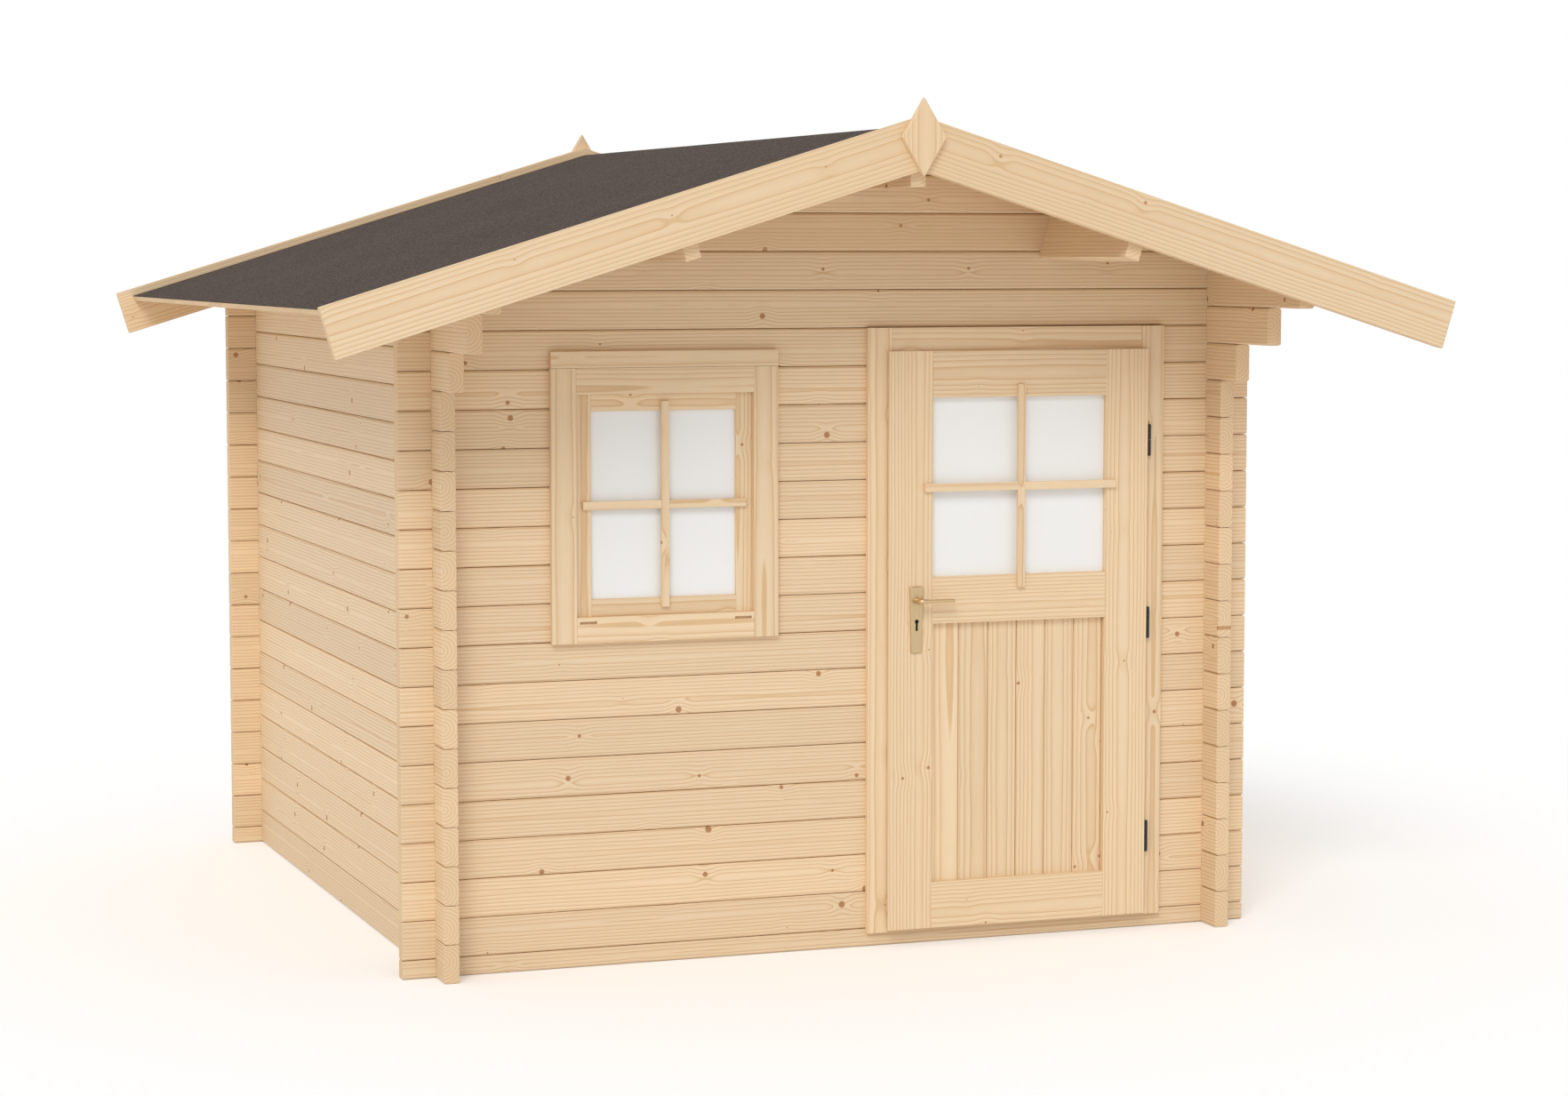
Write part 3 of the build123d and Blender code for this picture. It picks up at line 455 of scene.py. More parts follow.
def log_outline(face, foot, top, breaks=()):
    """A log's section, from its lower face inwards, with half a joint left above and below."""
    return board_outline((face, face + LOG_T), (foot + JOINT_GAP / 2, top - JOINT_GAP / 2),
                         LOG_CHAMFER, breaks=breaks)


def around(middle, width):
    """The range of that width whose middle is there."""
    return middle - width / 2, middle + width / 2


# %% Stations along a timber
def station(outline, place, low=-np.inf, high=np.inf):
    """One copy of the outline as (along, depth, across): across is clipped to low and high, and
    along is place, or place(across) for a slanted cut."""
    across = np.clip(outline[:, 1], low, high)
    along = place(across) if callable(place) else np.full(len(outline), float(place))
    return np.stack([along, outline[:, 0], across], 1)


EDGE = 0.0012  # how much a saw-cut end is eased


def straight(outline, start, end, clips=(), edge=EDGE):
    """Stations of a timber from start to end, with eased ends and clips (from, to, low, high)."""
    ease = inset(outline, edge)
    rings = [station(ease, start), station(outline, start + edge)]
    for a, b, low, high in sorted(clips):
        rings += [station(outline, a), station(outline, a, low, high),
                  station(outline, b, low, high), station(outline, b)]
    return rings + [station(outline, end - edge), station(ease, end)]


# %% A group of timbers
FAR_APART = 40.0  # metres of trunk that the timbers are picked from, so none are alike
HEART_RANGE = (0.6, 1.4)  # shares of a timber's distance from the heart

# How far the trunk's heart lies from the middle, in depth and across: a log, and a board
LOG_HEART, LOG_SPREAD = 0.02, 0.02
BOARD_HEART, BOARD_SPREAD = 0.05, 0.03


class Timbers:
    """Collects timbers that become one object. Each timber has its own grain and tone."""

    def __init__(self, seed):
        self.random = np.random.default_rng(seed)
        self.points, self.faces, self.grain, self.tone, self.sawn = [], [], [], [], []
        self.count = 0

    def put(self, rings, to_world, heart=LOG_HEART, spread=LOG_SPREAD, kinked=False,
            lie=(0, 1, 2)):
        """Adds one timber. to_world turns (along, depth, across) to x, y, z. heart and spread
        are how far the trunk's heart lies from the timber's middle, in depth and across. The
        end of a kinked timber isn't flat, so it is closed by level strips. lie names the axes
        that the wood runs along, through and across, where it isn't the order above."""
        local = np.stack(rings)
        m, n = local.shape[:2]
        ring, col = np.meshgrid(np.arange(m - 1), np.arange(n), indexing="ij")
        nxt = (col + 1) % n
        quads = np.stack([ring * n + col, ring * n + nxt, (ring + 1) * n + nxt,
                          (ring + 1) * n + col], -1).reshape(-1, 4) + self.count
        self.faces += quads.tolist()
        for start in (self.count, self.count + (m - 1) * n):
            ends = [start + np.arange(n)]
            if kinked:
                depth, across = local[-1, :, 1], local[-1, :, 2]
                halves = (np.flatnonzero(side) for side in (depth < np.median(depth),
                                                            depth > np.median(depth)))
                left, right = (half[np.argsort(across[half])] for half in halves)
                ends = start + np.stack([left[:-1], right[:-1], right[1:], left[1:]], 1)
            self.faces += [list(map(int, face)) for face in ends]
        flat = local.reshape(-1, 3)
        middle = (flat.max(0) + flat.min(0)) / 2
        off_heart = np.array([self.random.uniform(0, FAR_APART),
                              heart * self.random.uniform(*HEART_RANGE),
                              spread * self.random.uniform(-1, 1)])
        self.grain.append((flat - middle)[:, lie] + off_heart)
        self.tone.append(np.full(m * n, self.random.uniform(-1, 1)))
        end = np.zeros((m, n))
        end[[0, -1]] = 1.0
        self.sawn.append(end.ravel())
        self.points.append(to_world(flat))
        self.count += m * n

    def build(self, name, material, slot, body, nodes=()):
        """Makes the object, closes it up, and seats it in the frame."""
        mesh = bpy.data.meshes.new(name)
        mesh.from_pydata(np.concatenate(self.points).tolist(), [], self.faces)
        for key, kind, field, data in (("grain", "FLOAT_VECTOR", "vector", self.grain),
                                       ("tone", "FLOAT", "value", self.tone),
                                       ("sawn_end", "FLOAT", "value", self.sawn)):
            layer = mesh.attributes.new(key, kind, "POINT")
            layer.data.foreach_set(field, np.concatenate(data).ravel())
        close_up(mesh)
        return seat(name, mesh, material, body, nodes)


# %% Closing a mesh and seating it
MERGE = 2e-6  # points nearer than this are one


def close_up(mesh, smooth=None):
    """Merges points that fell together in a clip, drops faces left without area, and turns
    every face outwards. With smooth, edges under that many degrees are shaded as one."""
    bm = bmesh.new()
    bm.from_mesh(mesh)
    bmesh.ops.remove_doubles(bm, verts=bm.verts, dist=MERGE)
    bmesh.ops.dissolve_degenerate(bm, edges=bm.edges, dist=MERGE)
    bmesh.ops.recalc_face_normals(bm, faces=bm.faces)
    bm.to_mesh(mesh)
    bm.free()
    if smooth:
        mesh.shade_smooth()
        mesh.set_sharp_from_angle(angle=np.radians(smooth))


def seat(name, mesh, material, body, nodes=()):
    """Links the mesh as an object at the origin that rides on a body and stands for nodes."""
    piece = bpy.data.objects.new(name, mesh)
    bpy.context.scene.collection.objects.link(piece)
    mesh.materials.append(material)
    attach(piece, body)
    if nodes:
        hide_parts(*nodes)
    print(name, "faces", len(mesh.polygons))
    return piece


# %% Ways to turn (along, depth, across) into x, y, z
def run_x(p):
    """Along is X, depth is Y, across is Z."""
    return p


def run_y(p):
    """Along is Y, depth is X, across is Z."""
    return p[:, [1, 0, 2]]


def run_z(p):
    """Along is Z, depth is Y, across is X."""
    return p[:, [2, 1, 0]]


# %% [markdown]
# ## Front and rear walls
#
# The front and rear logs stand half a log out of step with the side logs. Where they cross a
# side wall, both are notched a quarter of their height from above and from below. The front
# logs stop at the door and the window, and the log over the door is cut out from below.

# %% Crossings and openings
JAMB_T = 0.028
DOOR_WALL_X = (0.1265, 1.0025)
DOOR_WALL_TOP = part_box("door_frame_head")[0][2] + JAMB_T
WINDOW_WALL_X = (-0.8535, -0.2535)
WINDOW_WALL_Z = (1.003, 1.7055)
PLAY = 0.0005  # round a log in its notch
print("cut out of the front wall:", DOOR_WALL_X, "for the door,", WINDOW_WALL_X, "for the window")


def front_course(k):
    """Foot and top of front log k."""
    return (0.0, BASE_H) if k == 0 else (BASE_H + (k - 1) * PITCH, BASE_H + k * PITCH)


def crossing(k):
    """What is left of front log k where it crosses a side wall: low and high."""
    low = k * PITCH - NOTCH if k else 0.0
    return low, (k * PITCH + NOTCH if k <= SIDE_COURSES else np.inf)


def corner_clips(k):
    """The clips of log k at both side walls."""
    low, high = crossing(k)
    return [(side * (WALL_X - LOG_T / 2) - LOG_T / 2 - PLAY,
             side * (WALL_X - LOG_T / 2) + LOG_T / 2 + PLAY, low, high) for side in (-1, 1)]


def front_log(timbers, k, face_y, spans, clips=()):
    """Log k in one or more spans of X, on the wall whose lower-Y face is at face_y."""
    outline = log_outline(face_y, *front_course(k))
    for a, b in spans:
        inside = [c for c in [*corner_clips(k), *clips] if a < c[0] and c[1] < b]
        timbers.put(straight(outline, a, b, inside), run_x)


def window_cut(k):
    """The front wall's window, for log k: the spans beside it, or a clip over or under it."""
    foot, top = front_course(k)
    low, high = WINDOW_WALL_Z
    whole = [(-STUB_X, DOOR_WALL_X[0])]
    if top <= low or foot >= high:
        return whole, []
    if foot < low:
        return whole, [(*WINDOW_WALL_X, -np.inf, low)]
    if top > high:
        return whole, [(*WINDOW_WALL_X, high, np.inf)]
    return [(-STUB_X, WINDOW_WALL_X[0]), (WINDOW_WALL_X[1], DOOR_WALL_X[0])], []


# %% The front wall up to the eaves
front = Timbers(11)
front_log(front, 0, FRONT_Y, [(-STUB_X, STUB_X)])
for k in range(1, HEADER):
    spans, clips = window_cut(k)
    front_log(front, k, FRONT_Y, spans, clips)
    front_log(front, k, FRONT_Y, [(DOOR_WALL_X[1], STUB_X)])
front_log(front, HEADER, FRONT_Y, [(-STUB_X, STUB_X)], [(*DOOR_WALL_X, DOOR_WALL_TOP, np.inf)])
front.build("front_wall_logs", SPRUCE_LOG, "log_wood", "house",
            ["front_base_log", "front_wall_left_odd", "front_wall_left_even",
             "front_wall_right_odd", "front_wall_right_even", "front_header_log"])

# %% [markdown]
# ## Gables
#
# Above the eaves the logs follow the roof: their ends are sawn to its slope, and they are
# pocketed round the three purlins that carry the boards. The two lower purlins lean with the
# roof, so their pockets lean too.

# %% Where the roof and the purlins meet a gable
PURLIN_W, PURLIN_H = 0.045, 0.145
MID_NEAR, MID_FAR = 0.7125, 0.7575  # faces of the lower purlins, along the slope


def on_slope(along, above):
    """(x, z) on the right slope: along from the ridge, above the underside of the boards."""
    return (along * COS + above * SIN, RIDGE_Z - along * SIN + above * COS)


def roof_x(z):
    """How far from the middle the underside of the boards is at height z."""
    return (RIDGE_Z - z) / TAN


def leaning(corner):
    """A saw cut up the side of a leaning purlin, from its corner: x at height z."""
    return lambda z: corner[0] + (z - corner[1]) * TAN


def nicked(foot):
    """The side of a log's nick for a leaning purlin, upright below the purlin's foot and
    leaning above it: x at height z."""
    return lambda z: foot[0] + np.maximum(0.0, z - foot[1]) * TAN


def mirrored(place):
    """The same saw cut on the left."""
    return lambda z: -place(z)


NEAR_TOP, FAR_TOP = on_slope(MID_NEAR, 0), on_slope(MID_FAR, 0)
NEAR_FOOT, FAR_FOOT = on_slope(MID_NEAR, -PURLIN_H), on_slope(MID_FAR, -PURLIN_H)
RIDGE_POCKET_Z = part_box("ridge_purlin")[0][2]
STUB_ROOF_Z = RIDGE_Z - STUB_X * TAN


def gable(timbers, face_y):
    """The five gable courses of one end, from the last stubs to the ridge."""
    def put(k, rings_of, span, breaks=(), top=None, kinked=False):
        """Log k over the span of X, up to its course's top or a lower one."""
        foot, course_top = front_course(k)
        outline = log_outline(face_y, foot, top or course_top, breaks)
        timbers.put(rings_of(outline, *span), run_x, kinked=kinked)

    def slanted(outline, start, end, clips=()):
        """Stations of a log between two slanted cuts, nicked by (from, high, to, high)."""
        rings = [station(outline, start)]
        for a, low_a, b, low_b in clips:
            rings += [station(outline, a), station(outline, a, high=low_a),
                      station(outline, b, high=low_b), station(outline, b)]
        return rings + [station(outline, end)]

    front_log(timbers, WHOLE_COURSE, face_y, [(-STUB_X, STUB_X)])

    # The last log with stubs: its ends meet the roof, and the leaning purlins nick its top
    def under_roof(x):
        """A cut at x that gives way to the roof: the nearer of the two at height z."""
        return lambda z: np.minimum(x, roof_x(z))

    walls = (WALL_X + PLAY, INNER_X - PLAY)
    outline = log_outline(face_y, *front_course(NICKED_COURSE),
                          breaks=(STUB_ROOF_Z, *[RIDGE_Z - x * TAN for x in walls],
                                  FAR_FOOT[1], NEAR_FOOT[1]))
    low = crossing(NICKED_COURSE)[0]
    outer, inner = (under_roof(x) for x in walls)
    half = [station(outline, nicked(NEAR_FOOT)),
            station(outline, NEAR_FOOT[0], high=NEAR_FOOT[1]),
            station(outline, FAR_FOOT[0], high=FAR_FOOT[1]), station(outline, nicked(FAR_FOOT)),
            station(outline, inner), station(outline, inner, low),
            station(outline, outer, low), station(outline, outer),
            station(outline, under_roof(STUB_X))]
    left_half = [ring * (-1, 1, 1) for ring in half[::-1]]
    timbers.put(left_half + half, run_x, kinked=True)

    # Cut through by the leaning purlins: a middle piece and two wedges
    near, far = leaning(NEAR_TOP), leaning(FAR_TOP)
    put(CUT_COURSE, slanted, (mirrored(near), near))
    for ends in ((mirrored(roof_x), mirrored(far)), (far, roof_x)):
        put(CUT_COURSE, slanted, ends, top=FAR_TOP[1] - JOINT_GAP / 2)

    # Under the ridge: nicked by the ridge purlin, then cut in two by it
    def tip(z):
        """The end at height z: at the leaning purlin below its top, at the roof above it."""
        return np.minimum(roof_x(z), np.where(z < NEAR_TOP[1], near(z), np.inf))

    left, right = around(0.0, PURLIN_W)
    pocket = [(left, RIDGE_POCKET_Z, right, RIDGE_POCKET_Z)]
    put(POCKET_COURSE, lambda outline, start, end: slanted(outline, start, end, pocket),
        (mirrored(tip), tip), breaks=(NEAR_TOP[1],), kinked=True)
    for ends in ((right, roof_x), (mirrored(roof_x), left)):
        put(LAST_COURSE, slanted, ends, top=RIDGE_Z - right * TAN - JOINT_GAP / 2)


front_gable = Timbers(12)
gable(front_gable, FRONT_Y)
front_gable.build("front_gable_logs", SPRUCE_LOG, "log_wood", "house",
                  ["front_gable_odd", "front_gable_even"])

# %% The rear wall and its gable
rear = Timbers(13)
for k in range(HEADER + 1):
    front_log(rear, k, REAR_Y - LOG_T, [(-STUB_X, STUB_X)])
gable(rear, REAR_Y - LOG_T)
rear.build("rear_wall_logs", SPRUCE_LOG, "log_wood", "house",
           ["rear_wall_even", "rear_wall_odd"])

# %% [markdown]
# ## Side walls
#
# Seventeen whole logs and a top log whose upper face is planed to the roof. Under the front
# overhang the three uppermost logs step out as corbels, each longer than the one below, and
# the top one reaches the barge board.

# %% Side logs with their corbels
REACH = {SIDE_COURSES - 2: 0.198, SIDE_COURSES - 1: 0.398}  # of the corbels, past the wall
for side, place in SIDES:
    wall = Timbers(20 + side)
    x = sorted((side * WALL_X, side * INNER_X))
    for j in range(SIDE_COURSES + 1):
        outline = log_outline(x[0], j * PITCH, (j + 1) * PITCH)
        if j == SIDE_COURSES:
            foot, c = j * PITCH + JOINT_GAP / 2, LOG_CHAMFER
            roof = [RIDGE_Z - abs(v) * TAN for v in x]
            outline = rounded([(x[0] + c, foot), (x[1] - c, foot), (x[1], foot + c),
                               (x[1], roof[1]), (x[0], roof[0]), (x[0], foot + c)], ROUND)
        keep = (j * PITCH + NOTCH, (j + 1) * PITCH - NOTCH)
        clips = [(y - PLAY, y + LOG_T + PLAY, *keep) for y in (FRONT_Y, REAR_Y - LOG_T)]
        start = -DECK_Y if j == SIDE_COURSES else FRONT_Y - REACH.get(j, STUB)
        wall.put(straight(outline, start, REAR_Y + STUB, clips), run_y)
    wall.build(f"{place}_wall_logs", SPRUCE_LOG, "log_wood", "house",
               [f"{place}_wall_even", f"{place}_wall_odd"])

# %% [markdown]
# ### Seals
#
# Real logs are tongued, so no daylight comes through a joint. These joints are open by 1.6 mm,
# so that each one draws a dark line, and a strip of bitumen felt lies out of sight in it. The
# strips stop where the other wall's logs cross, and at the door and the window.

# %% Seals in the joints
SEAL_IN, SEAL_W = 0.014, 0.017  # from the wall's face, and the strip's width
SEAL_SHY = 0.008  # how far a strip stays back from a log's end
SEAL_PLAY = 0.0002  # above and below it, and the rounding of its edges
seals = Timbers(25)


def seal(face, z, spans, to_world):
    """Strips in one joint at height z of the wall whose lower face is at face, kept shy of the
    ends of each span."""
    outline = board_outline((face + SEAL_IN, face + SEAL_IN + SEAL_W),
                            (z - JOINT_GAP / 2 + SEAL_PLAY, z + JOINT_GAP / 2 - SEAL_PLAY),
                            radius=SEAL_PLAY)
    for a, b in spans:
        seals.put(straight(outline, a + SEAL_SHY, b - SEAL_SHY, edge=SEAL_PLAY), to_world)


STUB_SPANS = [(-STUB_X, -WALL_X), (WALL_X, STUB_X)]
for k in range(LAST_COURSE):
    z = front_course(k)[1]
    if k <= SIDE_COURSES:
        across = [*STUB_SPANS, (-INNER_X, INNER_X)]
    elif z < RIDGE_POCKET_Z:
        reach = nicked(NEAR_FOOT)(z)
        across = [(-reach, reach)]
    else:
        across = [(-roof_x(z), -PURLIN_W / 2), (PURLIN_W / 2, roof_x(z))]
    seal(REAR_Y - LOG_T, z, across, run_x)
    if k < HEADER:
        left = [(-INNER_X, DOOR_WALL_X[0])]
        if WINDOW_WALL_Z[0] < z < WINDOW_WALL_Z[1]:
            left = [(-INNER_X, WINDOW_WALL_X[0]), (WINDOW_WALL_X[1], DOOR_WALL_X[0])]
        across = [*STUB_SPANS, *left, (DOOR_WALL_X[1], INNER_X)]
    seal(FRONT_Y, z, across, run_x)
for j in range(SIDE_COURSES):
    along = [(FRONT_Y - REACH.get(j, STUB), FRONT_Y), (FRONT_Y + LOG_T, REAR_Y - LOG_T),
             (REAR_Y, REAR_Y + STUB)]
    for face in (-WALL_X, INNER_X):
        seal(face, (j + 1) * PITCH, along, run_y)
seals.build("log_joint_seals", FELT, "roofing_felt", "house")

# %% [markdown]
# ## Roof
#
# Three purlins carry boards that run from the ridge to the eaves. The boards are tongued
# together with a small V on the underside, which shows under the overhangs. The felt is a thin
# sheet over all of it. The barge boards close the front and the rear, and a diamond covers the
# joint where they meet.

# %% Purlins
ridge = Timbers(31)
foot, shoulder = RIDGE_POCKET_Z, RIDGE_Z - PURLIN_W / 2 * TAN
outline = rounded([(-PURLIN_W / 2, foot), (PURLIN_W / 2, foot), (PURLIN_W / 2, shoulder),
                   (0.0, RIDGE_Z), (-PURLIN_W / 2, shoulder)], ROUND_PLANED)
ridge.put(straight(outline, -DECK_Y, DECK_Y), run_y)
ridge.build("ridge_purlin_timber", SPRUCE_LOG, "roof_timber", "house", ["ridge_purlin"])


def slope_to_world(side):
    """For a timber that runs down a slope: along from the ridge, depth above the underside of
    the boards, across along Y."""
    def turn(p):
        """x = side (a cos + d sin), y = across, z = ridge - a sin + d cos."""
        x = side * (p[:, 0] * COS + p[:, 1] * SIN)
        z = RIDGE_Z - p[:, 0] * SIN + p[:, 1] * COS
        return np.stack([x, p[:, 2], z], 1)
    return turn


def level_on_slope(side):
    """For a timber that runs along Y on a slope: depth is down the slope, across is above."""
    turn = slope_to_world(side)
    return lambda p: turn(p[:, [1, 2, 0]])


mids = Timbers(32)
for side in (-1, 1):
    outline = board_outline((MID_NEAR, MID_FAR), (-PURLIN_H, 0.0), radius=ROUND_PLANED)
    mids.put(straight(outline, -DECK_Y, DECK_Y), level_on_slope(side))
mids.build("mid_purlin_timbers", SPRUCE_LOG, "roof_timber", "house", ["mid_purlins"])

# %% Roof boards
DECK_T, FELT_T = 0.016, 0.002
DECK_L = 1.723
ROOF_BOARDS = 28
BOARD_V, BOARD_PLAY, DECK_HEART = 0.003, 0.0002, 0.07
for side, place in SIDES:
    deck = Timbers(40 + side)
    cover = 2 * DECK_Y / ROOF_BOARDS
    for i in range(ROOF_BOARDS):
        y0, y1 = -DECK_Y + i * cover + BOARD_PLAY, -DECK_Y + (i + 1) * cover - BOARD_PLAY
        outline = np.array([(0.0, y0 + BOARD_V), (0.0, y1 - BOARD_V), (BOARD_V, y1),
                            (DECK_T, y1), (DECK_T, y0), (BOARD_V, y0)])
        low = station(outline, 0.0)
        low[:, 0] = -low[:, 1] * TAN
        deck.put([low, station(outline, DECK_L - EDGE), station(inset(outline, EDGE), DECK_L)],
                 slope_to_world(side), heart=DECK_HEART, spread=BOARD_SPREAD)
    deck.build(f"roof_boards_{place}_planks", SPRUCE_BOARD, "roof_timber", "house",
               [f"roof_boards_{place}"])

# %% [markdown]
# ### Felt
#
# The sheet is a surface of two parameters: the way down the slope and the way along the ridge.
# Its height is nearly nothing, a few tenths of a millimetre of slow waves where it lies over
# the boards, and it is closed below and at its four edges.

# %% Felt sheets
FELT_WAVE = 0.00015  # half the height of the waves
WAVE_DOWN, WAVE_ALONG = 5.3, 4.1  # radians a metre down the slope and along the ridge
BEND, BEND_ALONG = 1.7, 1.9  # how far the waves wander, and how fast along the ridge
FELT_GRID = (60, 110)  # points down the slope and along the ridge


def felt_height(along, y):
    """The sheet's top over the boards' underside, less FELT_WAVE times (1 + wave), where wave
    is sin(down a + bend sin(bend_along y)) sin(wave_along y + a) for a metres down the slope
    and y along the ridge."""
    bent = along * WAVE_DOWN + BEND * np.sin(y * BEND_ALONG)
    wave = np.sin(bent) * np.sin(y * WAVE_ALONG + along)
    return DECK_T + FELT_T - FELT_WAVE * (1 + wave)


for side, place in SIDES:
    rows, columns = FELT_GRID
    along, y = np.meshgrid(np.linspace(0.0, 1.0, rows), np.linspace(-DECK_Y, DECK_Y, columns),
                           indexing="ij")
    top_h = felt_height(along * DECK_L, y)
    top = np.stack([along * (DECK_L + top_h * TAN) - top_h * TAN, top_h, y], -1)
    low = top.copy()
    low[..., 1] = DECK_T
    low[0, :, 0] = -DECK_T * TAN
    points = slope_to_world(side)(np.concatenate([top.reshape(-1, 3), low.reshape(-1, 3)]))
    index = np.arange(rows * columns).reshape(rows, columns)
    quad = np.stack([index[:-1, :-1], index[1:, :-1], index[1:, 1:], index[:-1, 1:]], -1)
    under = quad[..., ::-1] + rows * columns
    rim = np.concatenate([index[:-1, 0], index[-1, :-1], index[:0:-1, -1], index[0, :0:-1]])
    sides = np.stack([rim, rim + rows * columns, np.roll(rim, -1) + rows * columns,
                      np.roll(rim, -1)], -1)
    faces = np.concatenate([quad.reshape(-1, 4), under.reshape(-1, 4), sides])
    mesh = bpy.data.meshes.new(f"felt_{place}")
    mesh.from_pydata(points.tolist(), [], faces.tolist())
    close_up(mesh, smooth=30.0)
    seat(f"felt_sheet_{place}", mesh, FELT, "house", [f"roof_felt_{place}"])

# %% Barge boards and diamonds
BARGE_T = 0.028
BARGE_TOP, BARGE_LOW = 0.042, -0.103  # above the underside of the boards
BARGE_L = 1.773
BARGE_SPREAD = 0.04


def run_down_slope(side):
    """For a board on edge down a slope: depth is Y, across is above the boards' underside."""
    turn = slope_to_world(side)
    return lambda p: turn(p[:, [0, 2, 1]])


for side, place in SIDES:
    barge = Timbers(50 + side)
    for y0 in (-DECK_Y - BARGE_T, DECK_Y):
        outline = board_outline((y0, y0 + BARGE_T), (BARGE_LOW, BARGE_TOP), radius=ROUND_TRIM)
        rings = [station(outline, lambda v: -v * TAN), station(outline, BARGE_L - EDGE),
                 station(inset(outline, EDGE), BARGE_L)]
        barge.put(rings, run_down_slope(side), heart=BOARD_HEART, spread=BARGE_SPREAD)
    barge.build(f"barge_boards_{place}_timber", SPRUCE_JOINERY, "trim_wood", "house",
                [f"barge_boards_{place}"])

low_corner, high_corner = (np.array(c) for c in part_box("finials"))
middle_z = (low_corner[2] + high_corner[2]) / 2
half_h, half_w = (high_corner[2] - low_corner[2]) / 2, high_corner[0]
FINIAL_T, FINIAL_EASE = 0.020, 0.002
diamonds = Timbers(53)
outline = np.array([(0.0, middle_z - half_h), (half_w, middle_z), (0.0, middle_z + half_h),
                    (-half_w, middle_z)])
for y0 in (low_corner[1], high_corner[1] - FINIAL_T):
    rings = straight(outline, y0, y0 + FINIAL_T, edge=FINIAL_EASE)
    diamonds.put(rings, run_y, heart=BOARD_HEART, lie=(2, 0, 1))
diamonds.build("diamond_finials", SPRUCE_JOINERY, "trim_wood", "house", ["finials"])

# %% [markdown]
# ## Floor
#
# The floor shows only when the door is open. Its boards run from front to rear over bearers.

# %% Floor boards
low_corner, high_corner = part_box("floor_boards")
FLOOR_BOARDS, FLOOR_PLAY = 26, 0.0003
planks = Timbers(60)
cover = (high_corner[0] - low_corner[0]) / FLOOR_BOARDS
for i in range(FLOOR_BOARDS):
    x = low_corner[0] + i * cover
    outline = board_outline((x + FLOOR_PLAY, x + cover - FLOOR_PLAY),
                            (low_corner[2], high_corner[2]), radius=ROUND_PLANED)
    planks.put(straight(outline, low_corner[1], high_corner[1]), run_y, spread=BOARD_SPREAD)
planks.build("floor_planks", SPRUCE_BOARD, "floor_wood", "house", ["floor_boards"])

# %% [markdown]
# ## Door frame
#
# Posts and head grip the wall: a casing outside, one inside, and a jamb between them. The sill
# is a plank with a lip that hangs over the base log.

# %% Door frame
CASING_W, CASING_T = 0.076, 0.020
CASING_Y = FRONT_Y - CASING_T
INNER_Y = FRONT_Y + LOG_T
BACK_Y = INNER_Y + CASING_T
HEAD_LOW, HEAD_HIGH = (corner[2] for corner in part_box("door_frame_head"))
DOOR_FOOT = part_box("door_frame_posts")[0][2]
DOOR_CLEAR_X = tuple(corner[0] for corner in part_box("door_sill"))
SOFT = 0.0014  # rounding of planed joinery
TUCKED = 0.0003  # rounding where the wall hides it
TIGHT = 0.0006  # easing, or half the gap, where a timber meets another


def member(timbers, to_world, wide, slim, outer, middle, inner):
    """One side of a frame that grips the wall: outer casing, jamb and inner casing. wide and
    slim are the casings' and the jamb's ranges across, and outer, middle and inner say where
    each of the three starts and ends."""
    for depth, across, radius, span in (((CASING_Y, FRONT_Y), wide, SOFT, outer),
                                        ((FRONT_Y, INNER_Y), slim, TUCKED, middle),
                                        ((INNER_Y, BACK_Y), wide, SOFT, inner)):
        outline = board_outline(depth, across, radius=radius)
        timbers.put(straight(outline, *span, edge=TIGHT), to_world, heart=BOARD_HEART)


def ranges(clear, away):
    """Casing and jamb across, from the edge of the opening towards the wall at away, -1 or 1."""
    return [sorted((clear, clear + away * width)) for width in (CASING_W, JAMB_T)]


door_frame = Timbers(70)
for clear, away in zip(DOOR_CLEAR_X, (-1, 1)):
    member(door_frame, run_z, *ranges(clear, away), (DOOR_FOOT, HEAD_HIGH),
           (BASE_H, HEAD_LOW + JAMB_T), (BASE_H, HEAD_HIGH))
door_frame.build("door_frame_post_timber", SPRUCE_JOINERY, "trim_wood", "house",
                 ["door_frame_posts"])

head = Timbers(71)
member(head, run_x, (HEAD_LOW, HEAD_HIGH), (HEAD_LOW, HEAD_LOW + JAMB_T), *[DOOR_CLEAR_X] * 3)
head.build("door_frame_head_timber", SPRUCE_JOINERY, "trim_wood", "house", ["door_frame_head"])

sill = Timbers(72)
sill_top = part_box("door_sill")[1][2]
outline = rounded([(CASING_Y, DOOR_FOOT), (FRONT_Y, DOOR_FOOT), (FRONT_Y, BASE_H),
                   (BACK_Y, BASE_H), (BACK_Y, sill_top), (CASING_Y, sill_top)], SOFT)
sill.put(straight(outline, *DOOR_CLEAR_X, edge=TIGHT), run_x, heart=BOARD_HEART)
sill.build("door_sill_timber", SPRUCE_JOINERY, "trim_wood", "house", ["door_sill"])

# %% [markdown]
# ## Door leaf
#
# Stiles run the full height, rails fit between them. All round, the leaf has a lip that laps
# over the casing and a core that fills the opening. The lower panel is six tongued boards with
# a V at each joint. The glazing bars are planted on the face, crossing flush.

